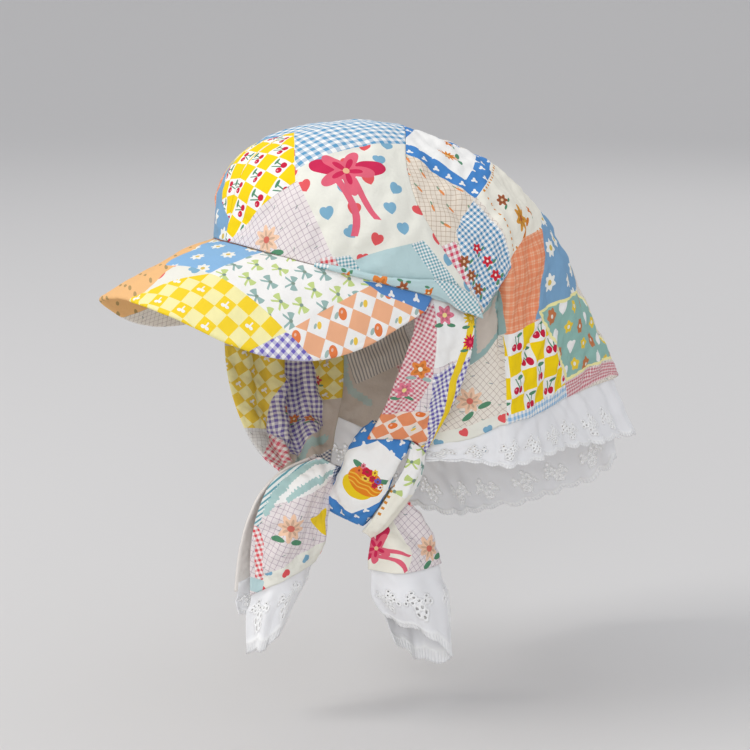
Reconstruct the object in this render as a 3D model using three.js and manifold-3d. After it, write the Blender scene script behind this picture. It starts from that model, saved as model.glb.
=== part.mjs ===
// Headscarf baseball cap: a soft cap with a stiff peak, and a large printed scarf sewn to its crown.
// The scarf falls over the back of the head, its two ends are tied in a knot below the chin, and a band
// of white eyelet lace is sewn along its hem and round the two tied ends.
// Millimetres. +Z is up, the peak points to -Y, +X is the wearer's left.
// The origin is the centre of the head opening at the hat line, where a head holds the cap.

import * as THREE from 'three';
import { mergeVertices } from 'three/addons/utils/BufferGeometryUtils.js';
import Module from 'manifold-3d';

// Driving dimensions
const CLOTH = 1.5;          // wall of the printed cotton, with its folds
const PEAK_WALL = 3.2;      // peak: two cloths over a stiff board
const PEAK_START = 1.7;     // the peak's inner edge starts this far from the rim line
const PEAK_BULGE = 5;       // rise of the peak between its rim and its outer edge
const BAND_WALL = 1.4;      // folded side band over each end of the peak
const LACE_WALL = 1.2;      // eyelet lace
const SEAM_GAP = 0.45;      // gap left at a sewn joint of the printed cloth
const HEM_GAP = 1.1;        // gap between the hem and the lace
const TUCK_DEPTH = 10;      // how far the near side sinks in below the tuck, beside the tie
const TUCK_HEM_DEPTH = 3;   // what is left of that step at the hem
const SIDE_SHARE = 0.55;    // share of a veil section above its side point
const EYELET_RADIUS = 1.5;  // holes of the eyelet lace
const PETAL_REACH = 4.6;    // distance of the outer holes from the middle hole of a flower
const TIE_WAVE = 2.5;       // depth of the gathers in the right tie
const TIE_WAVES = 3;
const KNOT_CUT_GAP = 0.5;   // room left round the knot by the cloth that runs into it

// Colours and surface
const PRINT_CREAM = 0xf0e8dc;
const PRINT_BLUE = 0xc9d8e2;
const PRINT_YELLOW = 0xf0dfa0;
const PRINT_PEACH = 0xf0d0b4;
const PRINT_PINK = 0xeccfcd;
const LACE_WHITE = 0xf5f4f1;
const COTTON_ROUGHNESS = 0.9;

// Crown sections, from the front rim back to the seam that joins the veil.
// Each section is a quarter arch from a point on the crest (x = 0) to a point at the side.
// bow: how far the arch leans forward between the two; full: below 1 makes the arch squarer.
const CROWN_COLUMNS = ['crestY', 'crestZ', 'sideX', 'sideY', 'sideZ', 'bow', 'full'];
const CROWN_ROWS = [
  [-100.5, 18.7, 88, 7, -14, 0, 1.0],
  [-96.5, 36.0, 89, 10, -15, 2, 0.97],
  [-91.5, 55.0, 90, 13, -16, 4, 0.95],
  [-80.0, 72.0, 91, 16, -17, 8, 0.93],
  [-58.0, 84.5, 92, 20, -18, 14, 0.92],
  [-28.0, 91.5, 93, 24, -19, 22, 0.91],
  [2.0, 92.8, 94, 29, -21, 31, 0.91],
  [27.0, 90.0, 94, 34, -23, 40, 0.92],
];

// Outer edge of the peak on one side, from its middle to where it runs out at the rim.
const PEAK_EDGE_COLUMNS = ['x', 'y', 'z'];
const PEAK_EDGE_ROWS = [
  [0, -176, -9.6],
  [24, -174.5, -10],
  [45, -169, -12.5],
  [62, -156, -19.5],
  [77, -136, -31],
  [88, -111, -40],
  [93, -82, -43],
  [93.5, -52, -38],
  [92.5, -24, -27],
  [90, 4, -15],
];

// Veil sections, from the seam back to the corner of the scarf: crest, side and hem points.
// lean: how far the fall below the side point swings forward.
const VEIL_COLUMNS = ['crestY', 'crestZ', 'sideX', 'sideY', 'sideZ',
  'hemX', 'hemY', 'hemZ', 'bow', 'full', 'lean'];
const VEIL_LEFT_ROWS = [
  [27.0, 90.0, 94, 34, -23, 46, 8, -118, 40, 0.92, -12],
  [46.0, 83.5, 90, 48, -8, 66, 40, -114, 26, 0.94, -6],
  [68.0, 75.0, 84, 62, 5, 78, 66, -103, 8, 0.95, 0],
  [92.0, 62.5, 76, 84, -5, 70, 90, -102, 2, 1.0, 0],
  [117.0, 41.0, 64, 110, -20, 56, 114, -101, 0, 1.0, 0],
  [146.0, 7.0, 46, 142, -45, 40, 140, -100, 0, 1.0, 0],
  [180.0, -43.7, 24, 178, -75, 22, 174, -99, 0, 1.0, 0],
  [214.4, -97.4, 4, 211, -98.4, 7, 206, -99, 0, 1.0, 0],
];
const VEIL_RIGHT_ROWS = [
  [27.0, 90.0, 94, 34, -23, 66, 10, -118, 40, 0.92, 0],
  [46.0, 83.5, 92, 48, -10, 66, 40, -134, 26, 0.94, 0],
  [68.0, 75.0, 87, 62, 0, 64, 66, -148, 8, 0.95, 0],
  [92.0, 62.5, 78, 84, -8, 60, 92, -156, 2, 1.0, 0],
  [117.0, 41.0, 68, 110, -22, 60, 120, -162, 0, 1.0, 0],
  [146.0, 7.0, 54, 142, -48, 56, 155, -160, 0, 1.0, 0],
  [180.0, -43.7, 36, 178, -80, 40, 190, -148, 0, 1.0, 0],
  [214.4, -97.4, 6, 214, -101, 12, 212, -108, 0, 1.0, 0],
];
const RIDGE_SHARE = 2 / 7;  // the pleat ridge of the veil lies on its third section

// Left tie, from under the rim to the knot: front edge, crease and rear edge.
const TIE_LEFT_ROWS = [
  [[78, -8, -12], [84, 4, -12], [86, 31, -19]],
  [[82, -9, -30], [91, 1, -28], [91.5, 29.5, -34]],
  [[81, -14, -46], [91, 2, -44], [90, 27, -54]],
  [[75, -19, -66], [86, 4, -66], [82, 23, -78]],
  [[64, -22, -88], [75, 6, -88], [71, 19, -98]],
  [[52, -26, -107], [62, 1, -109], [57, 15, -120]],
];

// Right tie, seen through the face opening: a broad gathered flap with a soft wave.
const TIE_RIGHT_ROWS = [
  [[-66, -57, 2], [-79, -28, -8], [-83, 3, -19], [-88, 28, -28]],
  [[-75, -63, -34], [-86, -31, -34], [-89, 0, -40], [-91, 29, -42]],
  [[-78, -64, -67], [-82, -33, -68], [-85, -2, -74], [-86, 26, -72]],
  [[-70, -62, -100], [-70, -36, -104], [-72, -10, -108], [-73, 14, -104]],
  [[-48, -56, -131], [-48, -38, -134], [-47, -20, -136], [-50, -2, -132]],
  [[-16, -45, -146], [-15, -36, -150], [-14, -26, -152], [-14, -16, -150]],
  [[22, -36, -146], [22, -30, -150], [22, -22, -152], [22, -14, -150]],
];

// Knot: a bundle of folded cloth, given as oval slices from its upper end to its lower end.
const KNOT_COLUMNS = ['x', 'y', 'z', 'halfWidth', 'halfDepth'];
const KNOT_ROWS = [
  [50, -8, -104, 12, 6],
  [49, -11, -110, 17, 10],
  [45, -17, -122, 19, 13],
  [40, -20, -136, 19, 14],
  [35, -24, -150, 16.5, 13],
  [30, -27, -160, 12, 10],
  [28, -28, -165, 6, 5],
];

// Loop of the scarf that comes out beside the knot: left edge, middle and right edge.
const LOOP_ROWS = [
  [[62, 1.5, -110], [61, 8.5, -115.3], [56.5, 15, -121.2]],
  [[60, -2, -126], [62, 5, -131], [54, 12, -140]],
  [[54, -10, -144], [58, -5, -150], [50, 3, -156]],
  [[47, -20, -163.5], [51, -15, -166.5], [45, -9, -171.5]],
  [[40, -23, -172.5], [42, -20, -174.5], [40, -17, -177.5]],
];

// Left tail: one end of the scarf folded round its right edge.
// Columns: back layer at the left, back layer middle, right edge, front middle, front layer at the left.
const TAIL_LEFT_ROWS = [
  [[20, -49, -122], [20, -38, -128], [24, -30, -131], [34, -40, -127], [30, -50, -121]],
  [[18, -74, -132], [14, -54, -138], [27, -39, -146], [40, -60, -133], [28, -80, -131]],
  [[14, -90, -152], [10, -62, -158], [26, -43, -164], [40, -74, -153], [24, -91, -152]],
  [[7, -97, -182], [8, -64, -184], [22, -44, -184], [34, -76, -182], [18, -94, -178]],
  [[3, -99, -212], [4, -68, -198], [18, -47, -194], [30, -75, -200], [12, -92, -213]],
];
const LACE_TAIL_LEFT_ROWS = [
  [[2.6, -98.8, -212.8], [3.6, -68, -198.8], [17.8, -47.2, -194.8], [29.8, -75.2, -200.8], [11.8, -92, -213.8]],
  [[3, -98, -221], [2, -74, -214], [15, -52, -207], [26, -78, -220], [9, -94, -229]],
  [[4, -96, -227], [3, -80, -226], [12, -60, -222], [20, -82, -238], [7, -92, -244]],
];

// Right tail: the other end, rolled into an open tube.
// Columns: left edge in front, front middle, right edge, back middle, back at the left.
const TAIL_RIGHT_ROWS = [
  [[37, -20, -158], [42, -11, -156], [41, 2, -147], [31, 0, -149], [27, -14, -158]],
  [[36, -13, -169], [40, -1, -167], [41, 12, -158], [32, 8, -162], [30, -6, -168]],
  [[38, -17, -190], [57, -2, -188], [46, 27, -184], [30, 15, -190], [32, -8, -190]],
  [[41, -19, -199], [61, -4, -199], [48, 33, -201], [30, 20, -204], [35, -11, -202]],
];
const LACE_TAIL_RIGHT_ROWS = [
  [[41, -19, -199.8], [61, -4, -199.8], [48, 33, -201.8], [30, 20, -204.8], [35, -11, -202.8]],
  [[42, -17, -218], [64, 0, -220], [51, 38, -226], [31, 24, -232], [36, -8, -224]],
  [[43, -5, -234], [60, 12, -240], [53, 40, -262], [33, 27, -268], [38, 4, -250]],
];

// Lace along the hem: lower edge points from the knot end to the corner, with their waves.
const LACE_LEFT_LOWER = [
  [48, 10, -127], [66, 41, -128], [76, 68, -134], [60, 104, -135],
  [44, 140, -137], [28, 172, -140], [14, 206, -143], [3, 232, -145],
];
const LACE_RIGHT_LOWER = [
  [-60, 12, -156], [-56, 42, -176], [-55, 76, -192], [-60, 112, -204],
  [-62, 150, -206], [-52, 186, -199], [-34, 214, -188], [-16, 229, -166],
];
const LACE_WAVE = 3;        // depth of the waves in the lace
const LACE_WAVES_LEFT = 3;
const LACE_WAVES_RIGHT = 4;

// Eyelet flowers: share along the lace and share of its height.
const FLOWERS_LEFT = [[0.2, 0.6], [0.38, 0.62], [0.55, 0.6], [0.72, 0.62], [0.88, 0.6]];
const FLOWERS_RIGHT = [[0.12, 0.62], [0.26, 0.66], [0.4, 0.62], [0.54, 0.66], [0.68, 0.62], [0.82, 0.66]];
const FLOWERS_TAIL = [[0.5, 0.72], [0.62, 0.36], [0.78, 0.7]];
const PETALS = 4;

// Side band: places on the crown under its upper edge (share back, share down), and its lower edge.
const BAND_UPPER = [[0.03, 0.5], [0.07, 0.62], [0.12, 0.76], [0.3, 0.86], [0.6, 0.91], [0.97, 0.96]];
const BAND_LOWER = [[0.0, 0.5], [0.0, 0.62], [0.0, 0.78], [0.0, 0.93], [0.4, 1.0], [0.97, 1.0]];
const BAND_STAND = 2.4;     // distance of the band outside the crown
const BAND_LIFT = 1.6;      // the band's lower edge clears the peak by this much
const BAND_DROP = 4;        // how far the band hangs down behind the end of the peak
const BAND_PUFF = 1.5;      // extra roundness of the band at its middle

// Smooth curve through evenly spaced rows of numbers, at a share 0..1 of its length.
function curve(rows, share) {
  const last = rows.length - 1;
  const place = Math.min(Math.max(share, 0), 1) * last;
  const i = Math.min(Math.floor(place), last - 1);
  const f = place - i;
  const before = i > 0 ? rows[i - 1] : rows[0].map((a, k) => 2 * a - rows[1][k]);
  const after = i + 2 <= last ? rows[i + 2] : rows[last].map((a, k) => 2 * a - rows[last - 1][k]);
  return rows[i].map((b, k) => {
    const a = before[k];
    const c = rows[i + 1][k];
    const d = after[k];
    return b + 0.5 * f * ((c - a) + f * ((2 * a - 5 * b + 4 * c - d) + f * (3 * b - a - 3 * c + d)));
  });
}

// A table row as an object with named values, at a share between the rows.
function rowAt(columns, rows, share) {
  const values = curve(rows, share);
  return Object.fromEntries(columns.map((name, k) => [name, values[k]]));
}

// Smooth surface through a net of points.
function net(rows, u, v) {
  const across = rows.map((row) => curve(row, v));
  return new THREE.Vector3(...curve(across, u));
}

// Quarter arch of a section: share 0 is the crest, 1 the side point.
function arch(row, share) {
  const turn = share * Math.PI / 2;
  const s = Math.pow(Math.sin(turn), row.full);
  const c = Math.pow(Math.max(Math.cos(turn), 0), row.full);
  const lean = row.bow * Math.sin(2 * turn) * Math.sqrt(Math.sin(turn));
  return new THREE.Vector3(
    row.sideX * s,
    row.sideY + (row.crestY - row.sideY) * c - lean,
    row.sideZ + (row.crestZ - row.sideZ) * c,
  );
}

function crownPoint(u, v) {
  return arch(rowAt(CROWN_COLUMNS, CROWN_ROWS, u), v);
}

// Peak: across v from the middle to its end, out t from the rim to the outer edge.
function peakPoint(v, t) {
  const side = Math.abs(v);
  const rim = crownPoint(0, side);
  const edge = new THREE.Vector3(...curve(PEAK_EDGE_ROWS, side));
  const start = PEAK_START / rim.distanceTo(edge);
  const share = start + (1 - start) * t;
  const p = rim.lerp(edge, share);
  p.z += PEAK_BULGE * Math.sin(Math.PI * share) * (1 - side * side);
  if (v < 0) p.x = -p.x;
  return p;
}

// Share 0..1 of a smooth step between two places.
function smoothStep(a, b, x) {
  const f = Math.min(Math.max((x - a) / (b - a), 0), 1);
  return f * f * (3 - 2 * f);
}

// Veil on one side: arch to the side point, then a fall to the hem.
function veilSide(rows, u, v, tucked) {
  const row = rowAt(VEIL_COLUMNS, rows, u);
  if (v <= SIDE_SHARE) return arch(row, v / SIDE_SHARE);
  const b = (v - SIDE_SHARE) / (1 - SIDE_SHARE);
  const side = new THREE.Vector3(row.sideX, row.sideY, row.sideZ);
  const hem = new THREE.Vector3(row.hemX, row.hemY, row.hemZ);
  const middle = new THREE.Vector3(
    0.65 * row.sideX + 0.35 * row.hemX,
    0.5 * (row.sideY + row.hemY) + row.lean,
    0.5 * (row.sideZ + row.hemZ),
  );
  const p = side.multiplyScalar((1 - b) * (1 - b));
  p.addScaledVector(middle, 2 * b * (1 - b)).addScaledVector(hem, b * b);
  if (tucked) {
    const depth = TUCK_DEPTH + (TUCK_HEM_DEPTH - TUCK_DEPTH) * smoothStep(0.3, 1, b);
    const ahead = 1 - smoothStep(RIDGE_SHARE - 0.024, RIDGE_SHARE, u);
    p.x -= depth * ahead * smoothStep(0, 0.12, b);
  }
  return p;
}

// Whole veil: w runs from the left hem (-1) over the crest (0) to the right hem (1).
function veilPoint(u, w) {
  if (w < 0) return veilSide(VEIL_LEFT_ROWS, u, -w, true);
  const p = veilSide(VEIL_RIGHT_ROWS, u, w, false);
  p.x = -p.x;
  return p;
}

// Evenly spaced shares from a to b.
function steps(a, b, count) {
  return Array.from({ length: count + 1 }, (_, i) => a + (b - a) * i / count);
}

// Closed sheet: a grid of middle points given a wall on both sides and closed along its four edges.
function sheet(point, us, vs, wall) {
  const rows = us.length;
  const columns = vs.length;
  const middle = us.map((u) => vs.map((v) => point(u, v)));
  const at = (i, j) => middle[Math.min(Math.max(i, 0), rows - 1)][Math.min(Math.max(j, 0), columns - 1)];
  const positions = [];
  for (const side of [0.5, -0.5]) {
    for (let i = 0; i < rows; i += 1) {
      for (let j = 0; j < columns; j += 1) {
        const along = at(i + 1, j).clone().sub(at(i - 1, j));
        const across = at(i, j + 1).clone().sub(at(i, j - 1));
        const normal = along.cross(across).normalize();
        const p = at(i, j).clone().addScaledVector(normal, side * wall);
        positions.push(p.x, p.y, p.z);
      }
    }
  }
  const top = (i, j) => i * columns + j;
  const under = (i, j) => rows * columns + i * columns + j;
  const index = [];
  const quad = (a, b, c, d) => index.push(a, b, c, a, c, d);
  for (let i = 0; i < rows - 1; i += 1) {
    for (let j = 0; j < columns - 1; j += 1) {
      quad(top(i, j), top(i + 1, j), top(i + 1, j + 1), top(i, j + 1));
      quad(under(i, j), under(i, j + 1), under(i + 1, j + 1), under(i + 1, j));
    }
  }
  for (let i = 0; i < rows - 1; i += 1) {
    quad(top(i, 0), under(i, 0), under(i + 1, 0), top(i + 1, 0));
    const j = columns - 1;
    quad(top(i, j), top(i + 1, j), under(i + 1, j), under(i, j));
  }
  for (let j = 0; j < columns - 1; j += 1) {
    quad(top(0, j), top(0, j + 1), under(0, j + 1), under(0, j));
    const i = rows - 1;
    quad(top(i, j), under(i, j), under(i, j + 1), top(i, j + 1));
  }
  return closedGeometry(positions, index);
}

// Indexed geometry with its faces turned outwards.
function closedGeometry(positions, index) {
  let volume = 0;
  for (let k = 0; k < index.length; k += 3) {
    const [a, b, c] = [0, 1, 2].map((n) => {
      return new THREE.Vector3().fromArray(positions, 3 * index[k + n]);
    });
    volume += a.dot(b.cross(c));
  }
  if (volume < 0) {
    for (let k = 0; k < index.length; k += 3) [index[k], index[k + 1]] = [index[k + 1], index[k]];
  }
  const geometry = new THREE.BufferGeometry();
  geometry.setAttribute('position', new THREE.Float32BufferAttribute(positions, 3));
  geometry.setIndex(index);
  geometry.computeVertexNormals();
  return geometry;
}

// Knot: oval slices stacked along its axis, widened by an extra margin when it is used as a cutter.
function knotGeometry(margin, around) {
  const axis = new THREE.Vector3(-22, -20, -61).normalize();
  const outward = new THREE.Vector3(0.857, -0.495, 0.139);
  const depth = outward.addScaledVector(axis, -outward.dot(axis)).normalize();
  const width = new THREE.Vector3().crossVectors(axis, depth).normalize();
  const slices = KNOT_ROWS.map((values, k) => {
    const row = rowAt(KNOT_COLUMNS, KNOT_ROWS, k / (KNOT_ROWS.length - 1));
    return { ...row, centre: new THREE.Vector3(row.x, row.y, row.z) };
  });
  const positions = [];
  for (const slice of slices) {
    for (let n = 0; n < around; n += 1) {
      const turn = 2 * Math.PI * n / around;
      const p = slice.centre.clone();
      p.addScaledVector(width, (slice.halfWidth + margin) * Math.cos(turn));
      p.addScaledVector(depth, (slice.halfDepth + margin) * Math.sin(turn));
      positions.push(p.x, p.y, p.z);
    }
  }
  const ends = [slices[0].centre.clone().addScaledVector(axis, -margin - 1.5)];
  ends.push(slices.at(-1).centre.clone().addScaledVector(axis, margin + 1.5));
  for (const p of ends) positions.push(p.x, p.y, p.z);
  const topEnd = slices.length * around;
  const index = [];
  for (let n = 0; n < around; n += 1) {
    const m = (n + 1) % around;
    for (let k = 0; k < slices.length - 1; k += 1) {
      const a = k * around;
      index.push(a + n, a + m, a + around + m, a + n, a + around + m, a + around + n);
    }
    const low = (slices.length - 1) * around;
    index.push(topEnd, m, n, topEnd + 1, low + n, low + m);
  }
  return closedGeometry(positions, index);
}

const wasm = await Module();
wasm.setup();

// Solid for cutting, made from a closed geometry.
function solidOf(geometry) {
  const bare = geometry.clone();
  bare.deleteAttribute('normal');
  if (bare.getAttribute('uv')) bare.deleteAttribute('uv');
  const merged = mergeVertices(bare, 1e-4);
  return new wasm.Manifold(new wasm.Mesh({
    numProp: 3,
    vertProperties: new Float32Array(merged.getAttribute('position').array),
    triVerts: new Uint32Array(merged.getIndex().array),
  }));
}

function geometryOf(solid) {
  const mesh = solid.getMesh();
  const positions = Array.from(mesh.vertProperties);
  return closedGeometry(positions, Array.from(mesh.triVerts));
}

// Lace with flowers of small round holes cut right through it.
function pierce(geometry, point, flowers) {
  let solid = solidOf(geometry);
  for (const [along, down] of flowers) {
    const centre = point(along, down);
    const a = point(along + 0.01, down).sub(centre).normalize();
    const b = point(along, down + 0.05).sub(centre).normalize();
    const normal = a.clone().cross(b).normalize();
    const side = normal.clone().cross(a).normalize();
    for (let k = 0; k < PETALS; k += 1) {
      const turn = 2 * Math.PI * k / PETALS + 0.5;
      const place = centre.clone();
      place.addScaledVector(a, PETAL_REACH * Math.cos(turn));
      place.addScaledVector(side, PETAL_REACH * Math.sin(turn));
      const hole = new THREE.CylinderGeometry(EYELET_RADIUS, EYELET_RADIUS, 7, 6);
      hole.applyQuaternion(new THREE.Quaternion().setFromUnitVectors(new THREE.Vector3(0, 1, 0), normal));
      hole.translate(place.x, place.y, place.z);
      solid = solid.subtract(solidOf(hole));
    }
  }
  return geometryOf(solid);
}

// Cloth that runs into the knot stops just short of it.
function cutByKnot(geometry) {
  return geometryOf(solidOf(geometry).subtract(solidOf(knotGeometry(KNOT_CUT_GAP, 20))));
}

const group = new THREE.Group();

function add(name, geometry, color) {
  const material = new THREE.MeshStandardMaterial({ color, roughness: COTTON_ROUGHNESS, metalness: 0 });
  const mesh = new THREE.Mesh(geometry, material);
  mesh.name = name;
  group.add(mesh);
}

// Crown: two panels that meet on a seam over the crest
const crownBack = steps(0.035, 0.994, 12);
const crownDown = steps(0, 1, 11);
for (const [name, mirror] of [['crown_panel_left', 1], ['crown_panel_right', -1]]) {
  const point = (u, v) => {
    const p = crownPoint(u, v);
    p.x = mirror * (p.x + 0.5 * SEAM_GAP * (1 - v));
    return p;
  };
  add(name, sheet(point, crownBack, crownDown, CLOTH), PRINT_CREAM);
}

// Peak: one arched board covered with cloth
add('peak', sheet(peakPoint, steps(-0.96, 0.96, 30), [0, 0.18, 0.36, 0.54, 0.72, 0.88, 1], PEAK_WALL),
  PRINT_YELLOW);

// Side bands: a fold of cloth over each end of the peak
for (const [name, mirror] of [['side_band_left', 1], ['side_band_right', -1]]) {
  const point = (u, v) => {
    const upper = crownPoint(...curve(BAND_UPPER, u));
    const lower = crownPoint(...curve(BAND_LOWER, u));
    const p = upper.lerp(lower, v);
    const out = new THREE.Vector3(p.x / 88, p.y < 7 ? (p.y - 7) / 108 : 0, 0).normalize();
    p.addScaledVector(out, BAND_STAND + BAND_PUFF * Math.sin(Math.PI * v));
    p.z += v * (BAND_LIFT - (BAND_LIFT + BAND_DROP) * smoothStep(0.62, 0.9, u));
    p.x *= mirror;
    return p;
  };
  add(name, sheet(point, steps(0, 1, 12), steps(0, 1, 4), BAND_WALL), PRINT_BLUE);
}

// Veil: one cloth from the seam to the hem
const veilBack = [0.006, 0.06, 0.12, 0.18, 0.235, RIDGE_SHARE - 0.024, RIDGE_SHARE,
  0.34, 0.4, 0.47, 0.54, 0.61, 0.68, 0.75, 0.82, 0.89, 0.95, 1];
const veilHalf = [0.07, 0.14, 0.21, 0.28, 0.35, 0.42, 0.49, SIDE_SHARE, 0.605, 0.68, 0.76, 0.84, 0.92, 1];
const veilAcross = [...veilHalf.map((v) => -v).reverse(), 0, ...veilHalf];
add('veil', sheet(veilPoint, veilBack, veilAcross, CLOTH), PRINT_CREAM);

// Ties: the left one is pulled narrow, the right one falls as a broad flap
const tieLeft = (u, v) => net(TIE_LEFT_ROWS, u, v);
const tieRight = (u, v) => {
  const p = net(TIE_RIGHT_ROWS, u, v);
  p.x += TIE_WAVE * Math.sin(2 * Math.PI * TIE_WAVES * v) * Math.sin(Math.PI * u);
  return p;
};
add('tie_left', cutByKnot(sheet(tieLeft, steps(0, 1, 14), steps(0, 1, 8), CLOTH)), PRINT_PINK);
add('tie_right', cutByKnot(sheet(tieRight, steps(0, 1, 14), steps(0, 1, 10), CLOTH)), PRINT_YELLOW);

// Knot, and the loop beside it
add('knot', knotGeometry(0, 20), PRINT_BLUE);
add('knot_loop', cutByKnot(sheet((u, v) => net(LOOP_ROWS, u, v), steps(0, 1, 10), steps(0, 1, 5), CLOTH)),
  PRINT_CREAM);

// Tails of the tied ends
const tailLeft = (u, v) => net(TAIL_LEFT_ROWS, u, v);
const tailRight = (u, v) => net(TAIL_RIGHT_ROWS, u, v);
add('tail_left', cutByKnot(sheet(tailLeft, steps(0, 1, 8), steps(0, 1, 14), CLOTH)), PRINT_CREAM);
add('tail_right', cutByKnot(sheet(tailRight, steps(0, 1, 6), steps(0, 1, 14), CLOTH)), PRINT_PINK);
const laceTailLeft = (v, u) => net(LACE_TAIL_LEFT_ROWS, u, v);
const laceTailRight = (v, u) => net(LACE_TAIL_RIGHT_ROWS, u, v);
const tailLaceAcross = steps(0, 1, 12);
add('lace_tail_left', pierce(sheet(laceTailLeft, tailLaceAcross, steps(0, 1, 4), LACE_WALL),
  laceTailLeft, FLOWERS_TAIL), LACE_WHITE);
add('lace_tail_right', pierce(sheet(laceTailRight, tailLaceAcross, steps(0, 1, 4), LACE_WALL),
  laceTailRight, FLOWERS_TAIL.map(([along, down]) => [along - 0.3, down])), LACE_WHITE);

// Lace along the hem of the veil, hanging in soft waves
function hemLace(side, lower, waves) {
  return (u, v) => {
    const back = 0.02 + 0.975 * u;
    const top = veilPoint(back, side);
    const down = veilPoint(back, side).sub(veilPoint(back, side * 0.97)).normalize();
    top.addScaledVector(down, 0.5 * HEM_GAP);
    top.z -= HEM_GAP;
    const low = new THREE.Vector3(...curve(lower, u));
    const p = top.lerp(low, v);
    p.x += Math.sign(-side) * LACE_WAVE * v * Math.sin(2 * Math.PI * waves * u);
    return p;
  };
}
const laceLeft = hemLace(-1, LACE_LEFT_LOWER, LACE_WAVES_LEFT);
const laceRight = hemLace(1, LACE_RIGHT_LOWER, LACE_WAVES_RIGHT);
add('lace_left', pierce(sheet(laceLeft, steps(0, 1, 22), steps(0, 1, 3), LACE_WALL), laceLeft, FLOWERS_LEFT),
  LACE_WHITE);
add('lace_right', pierce(sheet(laceRight, steps(0, 1, 26), steps(0, 1, 3), LACE_WALL), laceRight, FLOWERS_RIGHT),
  LACE_WHITE);

export default group;
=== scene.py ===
"""Headscarf baseball cap: a soft cap with an arched peak, a patchwork-print scarf sewn to its crown,
a knot below the chin, and white eyelet lace along the hem and round the two tied ends.
Tables and functions below work in millimetres; meshes, camera,
floor and lamps are in metres. +Z up, peak to -Y."""
import bpy
import numpy as np
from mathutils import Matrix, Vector


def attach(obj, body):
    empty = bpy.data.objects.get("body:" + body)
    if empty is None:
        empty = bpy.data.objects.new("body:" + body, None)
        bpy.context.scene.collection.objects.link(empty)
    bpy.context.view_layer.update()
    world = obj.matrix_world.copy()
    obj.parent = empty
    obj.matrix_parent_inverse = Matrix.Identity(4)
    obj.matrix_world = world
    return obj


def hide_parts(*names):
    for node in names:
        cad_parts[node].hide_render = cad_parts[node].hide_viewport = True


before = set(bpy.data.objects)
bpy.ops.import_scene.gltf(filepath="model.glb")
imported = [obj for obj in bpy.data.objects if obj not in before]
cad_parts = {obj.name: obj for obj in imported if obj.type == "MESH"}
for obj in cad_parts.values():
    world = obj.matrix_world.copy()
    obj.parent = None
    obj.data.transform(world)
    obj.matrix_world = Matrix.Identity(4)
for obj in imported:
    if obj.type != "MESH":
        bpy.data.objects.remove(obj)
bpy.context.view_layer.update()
MM = 0.001

# Driving dimensions, in millimetres but for shares and counts, the same as the solids'
CLOTH = 1.5             # wall of the printed cloth
PEAK_WALL = 3.2
PEAK_BULGE = 5.0        # rise of the peak at its middle, between rim and outer edge
BAND_WALL = 1.4
TUCK_DEPTH = 10.0       # how far the left side of the veil is tucked in, below its side point
TUCK_HEM_DEPTH = 3.0    # and at its hem
SIDE_SHARE = 0.55       # share of a veil section above its side point
RIDGE_SHARE = 2 / 7     # share of the veil's length that is tucked
TIE_WAVE = 2.5          # depth of the gathers of the right tie
TIE_WAVES = 3           # number of those gathers
LACE_WAVE = 3.0         # depth of the waves of the hem lace

# Dimensions of this script only
PEAK_START = 0.2        # room between the rim and the peak, less than between the solids
PEAK_SPAN = 0.96        # share of the rim that the peak reaches on each side
PEAK_FAR_DROP = 8.0     # how much lower its far half bends
PEAK_ROUNDING = 2.2     # its edge is rounded within this distance
PEAK_STITCHES = (4.6, 0.18, 0.7)    # stitched groove: distance from the edge, depth on a face, width
KNOT_AXIS = (-22.0, -20.0, -61.0)   # direction from its upper to its lower end
KNOT_OUTWARD = (0.857, -0.495, 0.139)
TAIL_LENGTH = 60.0      # about the length of a tail, to place its lace
FLATTEN_PULL = 1.6      # share of the mean pull that a point follows in one round
FAR = 1e3               # farther away than any edge

# Crown sections from the front rim to the seam: crestY, crestZ, sideX, sideY, sideZ, bow, full
CROWN_ROWS = [
    (-100.5, 18.7, 88, 7, -14, 0, 1.0),
    (-96.5, 36.0, 89, 10, -15, 2, 0.97),
    (-91.5, 55.0, 90, 13, -16, 4, 0.95),
    (-80.0, 72.0, 91, 16, -17, 8, 0.93),
    (-58.0, 84.5, 92, 20, -18, 14, 0.92),
    (-28.0, 91.5, 93, 24, -19, 22, 0.91),
    (2.0, 92.8, 94, 29, -21, 31, 0.91),
    (27.0, 90.0, 94, 34, -23, 40, 0.92),
]

# Outer edge of the peak on one side: x, y, z
PEAK_EDGE_ROWS = [
    (0, -176, -9.6), (24, -174.5, -10), (45, -169, -12.5), (62, -156, -19.5), (77, -136, -31),
    (88, -111, -40), (93, -82, -43), (93.5, -52, -38), (92.5, -24, -27), (90, 4, -15),
]

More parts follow.
